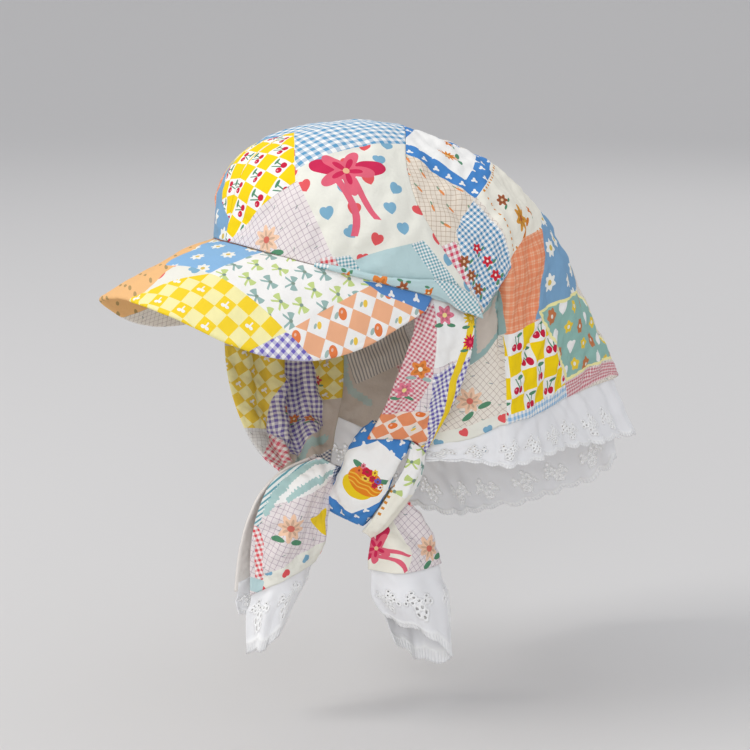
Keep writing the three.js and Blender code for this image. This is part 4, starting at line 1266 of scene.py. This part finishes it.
TAIL_RIGHT_PATCHES = [
    ("cream", [(-10, 95), (44, 95), (31, 20), (0, -10), (-20, -10)]),
    ("small_streamers", square(0, 8, 38), {"turn": 8}),
    ("pale_aqua", [(40, 70), (50, 70), (48, 56), (40, 56)]),
    ("red_gingham", [(51, 64), (60, 64), (59, 42), (51, 46)]),
    ("peach_blossom", square(33, 2, 26)),
    ("yellow_check", [(62, 80), (110, 80), (110, -10), (64, -10)]),
    ("mint_mixed", [(-10, 20), (-4, 26), (-8, 80), (-20, 80)]),
]

# Creases on the flat cloth: x0, y0, x1, y1, width, height
CROWN_CREASES = [
    (124, 42, 91, 19, 7, 2.6), (65, 66, 81, 26, 5, 1.8), (141, 51, 112, 26, 6, -2.2),
    (28, 64, 11, 53, 5, 1.5), (115, 54, 98, 36, 6, -1.6), (60, 76, 38, 58, 4, 1.5),
    (60, 122, 62, 78, 3, 1.0), (62, 78, 123, 117, 3, 0.9), (40, 96, 32, 68, 6, -1.2),
    (74, 54, 66, 34, 4, -1.6), (145, 84, 133, 54, 7, 1.9), (32, 44, 46, 30, 5, -1.4),
    (160, 110, 150, 70, 6, -1.4), (110, 90, 122, 60, 7, 1.0), (100, 44, 84, 22, 4, 1.2),
]
VEIL_CREASES = [
    (170, 276, 166, 243, 6, 2.4), (152, 240, 143, 224, 6, 2.6), (143, 224, 121, 195, 6, 2.8),
    (121, 195, 96, 156, 5, 2.2), (125, 135, 90, 121, 3, -2.6),
    (128, 128, 96, 113, 3, 2.2), (130, 262, 122, 232, 6, -2.2), (160, 232, 140, 190, 7, 2.2),
    (150, 196, 118, 140, 6, -2.2), (176, 170, 150, 70, 8, 2.2), (190, 120, 196, 40, 8, -2.0),
    (120, 140, 84, 100, 6, -1.9), (140, 130, 120, 76, 6, 1.8), (104, 200, 94, 176, 4, 1.4),
    (90, 170, 40, 120, 7, 2.0), (70, 150, 24, 124, 6, -1.8), (112, 240, 100, 214, 5, 1.4),
    (160, 120, 156, 60, 6, -1.6), (170, 100, 186, 40, 6, 1.6), (210, 200, 206, 120, 10, 1.8),
    (250, 240, 254, 120, 12, -2.0), (300, 230, 320, 140, 10, 2.4), (340, 200, 380, 120, 9, 2.2),
    (280, 130, 300, 40, 10, 2.2), (330, 130, 360, 50, 9, -2.2), (370, 150, 420, 90, 8, 2.0),
]
TIE_LEFT_CREASES = [
    (29, 110, 31, 66, 3, 1.6), (31, 66, 30, 18, 3, 1.8), (42, 100, 40, 20, 4, -1.4),
    (16, 100, 18, 24, 4, -1.2), (50, 80, 44, 16, 3, 1.0), (8, 70, 12, 20, 3, 0.9),
    (20, 40, 30, 6, 3, 1.2), (38, 40, 38, 6, 3, 1.2),
]
TIE_RIGHT_CREASES = [
    (69, 139, 65, 111, 3.5, -4.5), (65, 111, 54, 86, 3.5, -4.0), (54, 86, 46, 62, 3.5, -4.0),
    (58, 130, 42, 112, 4, 3.5), (41, 112, 41, 89, 5, 3.5), (76, 135, 80, 104, 4, 3.0),
    (78, 100, 62, 72, 4, 3.0), (40, 92, 50, 74, 3, -3.0),
    (20, 210, 24, 90, 7, 2.4), (36, 190, 40, 70, 5, -2.6), (50, 170, 50, 60, 5, 2.8),
    (62, 160, 58, 60, 4, -2.6), (74, 150, 66, 60, 4, 2.6), (88, 160, 76, 60, 5, -2.4),
    (30, 120, 34, 40, 5, 1.8), (44, 100, 44, 20, 4, 2.0), (58, 90, 54, 20, 4, -2.0),
    (28, 80, 40, 10, 4, -1.6), (66, 80, 60, 20, 3, 1.6), (12, 150, 18, 100, 6, -1.8),
]
KNOT_CREASES = [
    (10, 20, 24, 4, 3, -1.4), (40, 18, 28, 4, 3, -1.4), (25, 22, 25, 2, 3, 1.2),
    (14, 72, 18, 56, 3, -1.2), (38, 70, 34, 54, 3, -1.2), (26, 74, 26, 60, 3, 1.2), (8, 46, 16, 34, 3, 0.9),
]
LOOP_CREASES = [(10, 66, 12, 10, 3, 1.4), (18, 60, 16, 14, 2.5, -1.2), (4, 56, 6, 12, 2.5, -0.9)]
TAIL_LEFT_CREASES = [
    (66, 100, 74, 40, 6, 2.2), (84, 100, 92, 50, 5, -2.0), (100, 92, 104, 40, 5, 1.8),
    (60, 80, 64, 30, 4, -1.8), (30, 80, 24, 30, 6, 1.8), (46, 84, 44, 30, 5, -1.6),
    (78, 70, 84, 16, 4, 1.6), (96, 60, 92, 16, 4, -1.4), (72, 104, 70, 80, 3, 1.8), (84, 104, 82, 84, 3, -1.6),
]
TAIL_RIGHT_CREASES = [
    (24, 60, 22, 10, 4, 2.0), (38, 60, 42, 10, 4, -1.8), (50, 58, 56, 12, 4, 1.8), (31, 60, 32, 20, 3, -1.4),
    (70, 56, 76, 16, 5, 1.8), (86, 56, 90, 16, 5, -1.6), (12, 54, 10, 14, 4, -1.4), (46, 60, 44, 40, 3, 1.2),
]


CAP_MIDDLE = np.array([0.0, 40.0, -60.0])     # wrong sides face this point, but for folded pieces
EVERYWHERE = ["u0", "u1", "v0", "v1"]         # all four sides of a grid
CALM_EDGE = 9.0                               # wrinkles grow weaker within this distance of an edge


def material_pair(name, base, patches, pale_and_shade_share=0.3):
    """The printed right side and the wrong side of one cloth, paler and darkened with painted shade."""
    tree = patchwork(name, base, patches)
    return [cloth_material(name + " print", tree, 0.0), cloth_material(name + " wrong side", tree, pale_and_shade_share)]


def cloth_piece(name, place, coarse, fine, guess, base, patches, folds, wall, hems, looks, node,
                pale_and_shade_share=0.3, seed=1, folded=False):
    """The right side is the one that faces away from the middle of the cap, or of the piece where it is
    folded round on itself."""
    def grid(shape):
        """The middle surface at that many rows and columns."""
        return place(np.linspace(0, 1, shape[0])[:, None], np.linspace(0, 1, shape[1])[None])

    start = grid(coarse)
    if guess is None:
        flat = flat_veil(np.linspace(0, 1, coarse[0])[:, None], np.linspace(0, 1, coarse[1])[None])
    elif guess is side_view:
        flat = flat_in_steps(grid, guess)
    else:
        flat = flatten(start, guess(start), 900)
    flat -= flat.reshape(-1, 2).min(0)
    flat = finer(eased(flat), *fine)
    points = grid(fine)
    height, size = looks
    depth = edge_depth(flat, hems) if hems else np.full(fine, FAR)
    calm = smooth(0.0, CALM_EDGE, edge_depth(flat, EVERYWHERE))
    lift = (crumple(flat, seed, height, size) + crumple(flat, seed + 50, 0.38 * height, 0.4 * size)
            + creases(flat, folds)) * (0.25 + 0.75 * calm)
    points = points + normals(points) * lift[..., None]
    piece = shell(name, points, flat, hem(depth, wall), patch_marks(flat, patches))
    pair = material_pair(name, base, patches, pale_and_shade_share)
    inner = points.reshape(-1, 3).mean(0) if folded else CAP_MIDDLE
    facing = np.einsum("ijk,ijk->", normals(points), points - inner)
    for material in pair if facing > 0 else pair[::-1]:
        piece.data.materials.append(material)
    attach(piece, "root")
    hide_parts(node)
    cut_area(flat)


def side_view(points):
    """First guess of a crown half: its outline from the side it faces."""
    return seen_from(np.abs(points) * np.array([1.0, 0, 0]) + points * np.array([0, 1.0, 1.0]), 60)


def flat_in_steps(grid, guess):
    """A cloth laid flat on coarse grids first, so that it can't fold over itself on the fine one."""
    flat = None
    for size, rounds in ((6, 1500), (11, 800), (41, 500)):
        points = grid((size, size))
        flat = flatten(points, guess(points) if flat is None else finer(flat, size, size), rounds)
    return flat


def unrolled(points):
    """First guess of the peak's cloth: unrolled to both sides of its middle, seen from above."""
    across = np.linalg.norm(np.diff(points[..., [0, 2]], axis=0), axis=-1)
    across = np.concatenate([np.zeros((1, points.shape[1])), np.cumsum(across, axis=0)])
    across -= across[len(across) // 2]
    return np.stack([across, -points[..., 1]], -1)


def mirrored(place):
    """The same surface on the other side of the cap."""
    def other(u, v):
        """The surface with its x turned round."""
        p = place(u, v)
        p[..., 0] *= -1
        return p
    return other


CROWN_START, CROWN_SHARE = 0.017, 0.982   # the crown starts above the peak and ends at the veil
CREST_ROOM = 0.1                          # each half's distance from the middle plane at the crest


def crown_place(u, v):
    """The crown down to the peak's upper face and back to the seam of the veil."""
    p = crown_points(CROWN_START + CROWN_SHARE * u, v)
    p[..., 0] += CREST_ROOM * (1 - np.broadcast_to(v, p.shape[:2]))
    return p


def build_cloths():
    """All printed cloths of the cap and the scarf."""
    cloth_piece("cap_crown_left", crown_place, (41, 41), (116, 126), side_view, "hearts", CROWN_PATCHES,
                CROWN_CREASES, CLOTH, [], (0.6, 34), "crown_panel_left",
                seed=3)
    cloth_piece("cap_crown_right", mirrored(crown_place), (41, 41), (100, 110),
                side_view, "slate_daisies", CROWN_RIGHT_PATCHES, CROWN_CREASES[:6],
                CLOTH, [], (0.6, 34), "crown_panel_right", seed=4)
    cloth_piece("scarf_veil", lambda u, v: veil_points(0.001 + 0.999 * u, 2 * v - 1), (41, 81), (150, 286),
                None, "cream_panes", VEIL_PATCHES + turned_patches(VEIL_RIGHT_PATCHES, 25), VEIL_CREASES,
                CLOTH, ["v0", "v1"], (1.4, 38), "veil",
                seed=6)
    for name, mirror, node in (("band_left", 1, "side_band_left"), ("band_right", -1, "side_band_right")):
        cloth_piece(name, lambda u, v, m=mirror: band_points(u, v, m), (31, 9), (120, 22), lengths, "pale_aqua",
                    BAND_PATCHES, [], BAND_WALL, EVERYWHERE, (0.3, 16), node,
                    seed=8)
    cloth_piece("scarf_tie_left", lambda u, v: net(TIE_LEFT_ROWS, u, v), (31, 15), (110, 60), lengths,
                "pink_panes", TIE_LEFT_PATCHES, TIE_LEFT_CREASES, CLOTH, ["v0", "v1"], (0.7, 20), "tie_left",
                seed=9)
    cloth_piece("scarf_tie_right", tie_right_points, (41, 31), (150, 90), lengths, "beige",
                TIE_RIGHT_PATCHES, TIE_RIGHT_CREASES, CLOTH, ["v0", "v1"], (1.1, 24), "tie_right",
                pale_and_shade_share=0.12, seed=10)
    cloth_piece("scarf_loop", lambda u, v: net(LOOP_ROWS, u, v), (21, 9), (80, 34), lengths, "cream",
                LOOP_PATCHES, LOOP_CREASES, CLOTH, ["v0", "v1"], (0.7, 14), "knot_loop",
                seed=11)
    cloth_piece("scarf_tail_left", lambda u, v: net(TAIL_LEFT_ROWS, u, v), (21, 41), (84, 160), lengths,
                "pink_panes", TAIL_LEFT_PATCHES, TAIL_LEFT_CREASES, CLOTH, ["v0", "v1"], (0.8, 22),
                "tail_left", seed=12, folded=True)
    cloth_piece("scarf_tail_right", lambda u, v: net(TAIL_RIGHT_ROWS, u, v), (21, 41), (60, 150), lengths,
                "pink_panes", TAIL_RIGHT_PATCHES, TAIL_RIGHT_CREASES, CLOTH, ["v0", "v1"], (0.8, 22),
                "tail_right", seed=13, folded=True)


def build_peak():
    """Peak: a stiff arched board under printed cloth, with a rounded, stitched edge."""
    rows, columns = 210, 84
    u, v = np.linspace(0, 1, rows)[:, None], np.linspace(0, 1, columns)[None]
    coarse = peak_points(np.linspace(-PEAK_SPAN, PEAK_SPAN, 31)[:, None], np.linspace(0, 1, 9)[None])
    flat = flatten(coarse, unrolled(coarse), 1500)
    flat -= flat.reshape(-1, 2).min(0)
    flat = finer(eased(flat), rows, columns)
    points = peak_points(2 * PEAK_SPAN * u - PEAK_SPAN, v)
    depth = edge_depth(flat, ["u0", "u1", "v1"])
    half = 0.5 * PEAK_WALL * np.sqrt(np.clip(1 - (1 - np.clip(depth / PEAK_ROUNDING, 0, 1)) ** 2, 0.08, 1))
    groove, deep, wide = PEAK_STITCHES
    half -= deep * np.exp(-((depth - groove) / wide) ** 2)
    points = points + normals(points) * crumple(flat, 21, 0.35, 30)[..., None]
    peak = shell("cap_peak", points, flat, half, patch_marks(flat, PEAK_PATCHES))
    for material in material_pair("cap_peak", "hearts", PEAK_PATCHES, 0.06):
        peak.data.materials.append(material)
    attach(peak, "root")
    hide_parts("peak")


def build_knot():
    """Knot: the scarf wrapped round itself, a full soft body with creases that run into both ends."""
    rows, columns = 72, 145
    u, v = np.linspace(0, 1, rows)[:, None], np.linspace(0, 1, columns)[None]
    coarse = knot_points(np.linspace(0, 1, 21)[:, None], 0.5 * np.linspace(0, 1, 21)[None])
    half_flat = flatten(coarse, lengths(coarse), 900)
    half_flat -= half_flat.reshape(-1, 2).min(0)
    front = finer(half_flat, rows, (columns + 1) // 2)
    back = front[:, -2::-1]
    flat = np.concatenate([front, back], 1)
    points = knot_points(u, v + 0 * u)
    wide = np.concatenate([points[:, -2:-1], points, points[:, 1:2]], 1)
    n = normals(wide)[:, 1:-1]
    lift = creases(flat, KNOT_CREASES) + crumple(flat, 31, 0.5, 14)
    lift *= smooth(0, 0.08, u) * smooth(0, 0.08, 1 - u)
    points = points + n * lift[..., None]
    knot = solid_body("scarf_knot", points, flat, patch_marks(flat, KNOT_PATCHES))
    tree = patchwork("scarf_knot", "blue_border", KNOT_PATCHES)
    knot.data.materials.append(cloth_material("scarf knot print", tree, 0.0))
    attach(knot, "root")
    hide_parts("knot")


def solid_body(name, points, flat, marks):
    """A closed body from rings of points: the last column meets the first, and each end closes on a
    point at the middle of its ring."""
    points = points[:, :-1]
    rows, columns = points.shape[:2]
    ends = np.stack([points[0].mean(0), points[-1].mean(0)])
    vertices = np.concatenate([points.reshape(-1, 3), ends]) * MM
    index = np.arange(rows * columns).reshape(rows, columns)
    right = np.roll(index, -1, axis=1)
    quads = np.stack([index[:-1], index[1:], right[1:], right[:-1]], -1).reshape(-1, 4)
    first = np.full(columns, rows * columns)
    caps = np.concatenate([np.stack([first, index[0], right[0]], -1),
                           np.stack([first + 1, right[-1], index[-1]], -1)])
    mesh = bpy.data.meshes.new(name)
    mesh.from_pydata(vertices.tolist(), [], quads.tolist() + caps.tolist())
    a, b, c, d = (vertices[quads[:, k]] for k in range(4))
    volume = np.einsum("ij,ij->", a, np.cross(b, c)) + np.einsum("ij,ij->", a, np.cross(c, d))
    if volume < 0:
        mesh.flip_normals()
    mesh.polygons.foreach_set("use_smooth", np.ones(len(mesh.polygons), bool))
    corner = np.empty(len(mesh.loops), np.int32)
    mesh.loops.foreach_get("vertex_index", corner)
    inner = flat[:, :-1].reshape(-1, 2)
    uv = np.concatenate([inner, [flat[0].mean(0), flat[-1].mean(0)]])
    layer = mesh.uv_layers.new(name="flat")
    layer.data.foreach_set("uv", uv[corner].astype(np.float32).ravel())
    for key, value in marks.items():
        value = value[:, :-1].ravel()
        attribute = mesh.attributes.new(key, "FLOAT", "POINT")
        attribute.data.foreach_set("value", np.concatenate([value, value[:1], value[-1:]]).astype(np.float32))
    body = bpy.data.objects.new(name, mesh)
    bpy.context.collection.objects.link(body)
    return body


# Eyelet lace

LACE_STEP = 0.8       # mm between grid lines
EYELET_RADIUS = 0.9
HEM_SCALLOPS = (16.0, 2.4)      # length and depth in mm
TAIL_SCALLOPS = (22.0, 1.3)
LAWN = 0.55           # wall of the lace where it isn't stitched
STITCH_HEIGHT = 0.5
STITCHED_RIM = 3.2    # width of the stitched lower edge
RIB_LENGTH = 2.4      # distance between its ribs
LACE_OVERLAP = 3.0    # how far the lace reaches up behind the cloth, and how far in from it
LACE_INSET = 2.0

# One flower of eyelets, in grid steps from its middle: along, down
FLOWER_HOLES = [(3, 0), (1, 3), (-3, 2), (-3, -2), (1, -3)]
# Single eyelets of the spray above a flower, each at the end of a stem
SPRAY_HOLES = [(5, -6), (9, -8), (8, -12), (12, -5), (0, -8), (3, -11), (-5, -7), (-9, -6), (-7, -11), (4, -16)]


def lace_piece(name, place, across, down, start, space, gathers, scallops, node, seed):
    """One strip of eyelet lace: across mm along its top, down mm deep at most. The grid is drawn in round
    every eyelet, and the four quads inside are left out, so the holes go right through."""
    rows, columns = int(across / LACE_STEP) + 1, int(down / LACE_STEP) + 1
    i, j = np.mgrid[0:rows, 0:columns].astype(float)
    gone = np.zeros((rows - 1, columns - 1), bool)
    ring = np.full((rows, columns), FAR)
    taken = np.full((rows, columns), False)
    holes = []

    def pierce(a, b):
        """Notes an eyelet at that grid point, unless it is near an edge or another one."""
        if not (4 <= a < rows - 4 and 5 <= b < columns - 4) or taken[a - 2:a + 3, b - 2:b + 3].any():
            return
        taken[a, b] = True
        holes.append((a, b))

    places = []
    middle = start
    turn = 1
    while middle < across - 8:
        a, b = int(middle / LACE_STEP), columns - int(0.24 * columns) - 2
        for da, db in FLOWER_HOLES:
            pierce(a + da, b + db)
        for da, db in SPRAY_HOLES:
            pierce(a + da * turn, b + db)
        places.append((a, b, turn))
        middle += space
        turn = -turn
    moved_i, moved_j = i.copy(), j.copy()
    reach = EYELET_RADIUS / LACE_STEP
    for a, b in holes:
        gone[a - 1:a + 1, b - 1:b + 1] = True
        near = (slice(a - 1, a + 2), slice(b - 1, b + 2))
        di, dj = i[near] - a, j[near] - b
        long = np.hypot(di, dj)
        long[1, 1] = 1.0
        moved_i[near] = a + di / long * reach
        moved_j[near] = b + dj / long * reach
        wide = (slice(max(a - 6, 0), a + 7), slice(max(b - 6, 0), b + 7))
        ring[wide] = np.minimum(ring[wide], np.hypot(i[wide] - a, j[wide] - b) * LACE_STEP)
    u, v = moved_i / (rows - 1), moved_j / (columns - 1)
    along = u * across
    wave = np.abs(np.sin(np.pi * along / scallops[0]))
    v = v * (1 - scallops[1] / down * (1 - wave) * smooth(0.6, 1.0, v))
    points = place(u, v)
    # soft gathers that grow from the seam, and a gentle unevenness
    turns = 2 * np.pi * gathers
    fold = np.sin(turns * u + 0.8 * np.sin(7 * u)) + 0.5 * np.sin(turns * 1.7 * u + 1)
    flat = np.stack([along, v * down], -1)
    lift = fold * (0.25 + 1.3 * v) * 0.8 + crumple(flat, seed, 0.7, 26)
    stitched = 1 - smooth(0.4, 1.0, np.abs(ring - EYELET_RADIUS - 0.35))
    edge = down * (1 - v / np.maximum(v[:, -1:], 1e-6))
    ribs = 0.55 + 0.45 * np.sin(2 * np.pi * along / RIB_LENGTH)
    rim = (1 - smooth(STITCHED_RIM - 0.8, STITCHED_RIM, edge)) * ribs
    rim = np.maximum(rim, 1 - smooth(0.4, 1.0, np.abs(edge - STITCHED_RIM)))
    stem = np.zeros((rows, columns))
    for a, b, turn in places:
        for da, db in SPRAY_HOLES:
            end = np.array([da * turn, db], float) * LACE_STEP
            x, y = (i - a) * LACE_STEP, (j - b) * LACE_STEP
            share = np.clip((x * end[0] + y * end[1]) / (end @ end), 0.25, 0.9)
            bend = np.hypot(*end) * 0.16 * turn * np.sin(np.pi * share)
            away = np.hypot(x - end[0] * share - bend, y - end[1] * share)
            stem = np.maximum(stem, (1 - smooth(0.2, 0.75, away)) * 0.75)
    raised = np.maximum.reduce([stitched, rim, stem])
    points = points + normals(points) * lift[..., None]
    half = 0.5 * (LAWN + STITCH_HEIGHT * raised)
    piece = shell(name, points, flat, half, {"stitched": raised}, gone)
    piece.data.materials.append(lace_material())
    piece.data.materials.append(lace_material())
    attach(piece, "root")
    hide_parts(node)
    laid = flatten(points[::6, ::4], lengths(points[::6, ::4]), 200)
    area = cut_area(laid) - len(holes) * np.pi * (EYELET_RADIUS * MM) ** 2


def lace_material():
    """White cotton lawn with satin-stitched embroidery standing a little proud of it."""
    known = bpy.data.materials.get("white eyelet cotton")
    if known:
        return known
    material, tree, shader = new_material("white eyelet cotton", 0.85, 0.2)
    stitch = add_node(tree, "Attribute", attribute_name="stitched").outputs["Fac"]
    colour = mixed(tree, stitch, (0.89, 0.89, 0.90, 1), (0.99, 0.99, 0.98, 1))
    tree.links.new(colour, shader.inputs["Base Color"])
    place = add_node(tree, "TexCoord").outputs["Object"]
    weave = add_node(tree, "TexNoise", {"Vector": place, "Scale": 1500})
    thread = add_node(tree, "TexWave", {"Vector": place, "Scale": 700, "Distortion": 2.0})
    worked = add_node(tree, "Math", {0: stitch, 1: thread.outputs["Fac"]}, operation="MULTIPLY")
    normal = bump(tree, stitch, 0.8, 0.0006)
    normal = bump(tree, worked.outputs[0], 0.3, 0.0002, normal)
    normal = bump(tree, weave.outputs[0], 0.2, 0.0002, normal)
    tree.links.new(normal, shader.inputs["Normal"])
    return material


def under_tail(tail_rows, lace_rows):
    """Lace rows that start inside the tail, LACE_OVERLAP above its end and LACE_INSET in from its cloth."""
    share = 1 - LACE_OVERLAP / TAIL_LENGTH
    start = net(tail_rows, share + np.zeros(5), np.linspace(0, 1, 5))
    inward = start.mean(0) - start
    inward *= LACE_INSET / np.linalg.norm(inward, axis=-1, keepdims=True)
    second = 0.6 * (np.array(lace_rows[0]) + inward) + 0.4 * np.array(lace_rows[1])
    return [start + inward, second] + [np.array(row, float) for row in lace_rows[1:]]


def build_lace():
    """The four strips: along both hems of the veil and round both tails."""
    lace_piece("hem_lace_left", lambda u, v: hem_lace_points(-1, LACE_LEFT_LOWER, 3, u, v),
               245, 45, 16, 28, 9, HEM_SCALLOPS, "lace_left", 41)
    lace_piece("hem_lace_right", lambda u, v: hem_lace_points(1, LACE_RIGHT_LOWER, 4, u, v),
               262, 46, 14, 28, 9, HEM_SCALLOPS, "lace_right", 42)
    left = under_tail(TAIL_LEFT_ROWS, LACE_TAIL_LEFT_ROWS)
    lace_piece("tail_lace_left", lambda u, v: net(left, v, u),
               124, 34, 12, 25, 5, TAIL_SCALLOPS, "lace_tail_left", 43)
    right = under_tail(TAIL_RIGHT_ROWS, LACE_TAIL_RIGHT_ROWS)
    lace_piece("tail_lace_right", lambda u, v: net(right, v, u),
               124, 48, 12, 25, 5, TAIL_SCALLOPS, "lace_tail_right", 44)


# Surroundings

FLOOR_HEIGHT = -0.30
FLOOR_RADIUS, FLOOR_FLAT = 9.0, 5.0     # its rim, and where it starts to curve up
FLOOR_BEND = 5.0                        # radius of that curve
AIM = Vector((0, 0, -0.05))             # where the lamps point


def build_surroundings():
    """A wide pale floor that curves up at its rim, a pale room and large soft lights."""
    rings, spokes = 40, 96
    r = np.linspace(0, FLOOR_RADIUS, rings)
    a = np.linspace(0, 2 * np.pi, spokes, endpoint=False)
    bent = np.clip(r - FLOOR_FLAT, 0, None)
    rise = FLOOR_BEND - np.sqrt(FLOOR_BEND ** 2 - bent ** 2)
    x, y = r[1:, None] * np.cos(a), r[1:, None] * np.sin(a)
    z = np.broadcast_to((FLOOR_HEIGHT + rise)[1:, None], x.shape)
    vertices = np.concatenate([[[0, 0, FLOOR_HEIGHT]], np.stack([x, y, z], -1).reshape(-1, 3)])
    index = 1 + np.arange((rings - 1) * spokes).reshape(rings - 1, spokes)
    right = np.roll(index, -1, axis=1)
    quads = np.stack([index[:-1], index[1:], right[1:], right[:-1]], -1).reshape(-1, 4)
    middle = np.stack([np.zeros(spokes, int), index[0], right[0]], -1)
    mesh = bpy.data.meshes.new("floor")
    mesh.from_pydata(vertices.tolist(), [], quads.tolist() + middle.tolist())
    mesh.polygons.foreach_set("use_smooth", np.ones(len(mesh.polygons), bool))
    floor = bpy.data.objects.new("floor", mesh)
    bpy.context.collection.objects.link(floor)
    paper = bpy.data.materials.new("pale paper")
    paper.use_nodes = True
    shader = paper.node_tree.nodes["Principled BSDF"]
    shader.inputs["Base Color"].default_value = (0.66, 0.65, 0.64, 1)
    shader.inputs["Roughness"].default_value = 0.9
    mesh.materials.append(paper)
    world = bpy.data.worlds.new("pale room")
    world.use_nodes = True
    world.node_tree.nodes["Background"].inputs[0].default_value = (0.95, 0.96, 1.0, 1)
    world.node_tree.nodes["Background"].inputs[1].default_value = 0.70
    bpy.context.scene.world = world
    # name, place, size, watts, colour
    for name, place, size, watts, colour in (
            ("key light", (-0.6, -2.2, 2.3), 1.2, 37, (1.0, 0.98, 0.95)),
            ("fill light", (2.7, -1.8, 1.0), 1.8, 28, (0.95, 0.97, 1.0)),
            ("back light", (-2.0, 2.4, 2.2), 2.0, 14, (1.0, 1.0, 1.0))):
        lamp = bpy.data.lights.new(name, "AREA")
        lamp.size = size
        lamp.energy = watts
        lamp.color = colour
        light = bpy.data.objects.new(name, lamp)
        light.location = place
        light.rotation_euler = (AIM - Vector(place)).to_track_quat("-Z", "Y").to_euler()
        bpy.context.collection.objects.link(light)


build_cloths()
build_peak()
build_knot()
build_lace()
build_surroundings()
set_camera()
bpy.context.scene.view_settings.view_transform = "Standard"
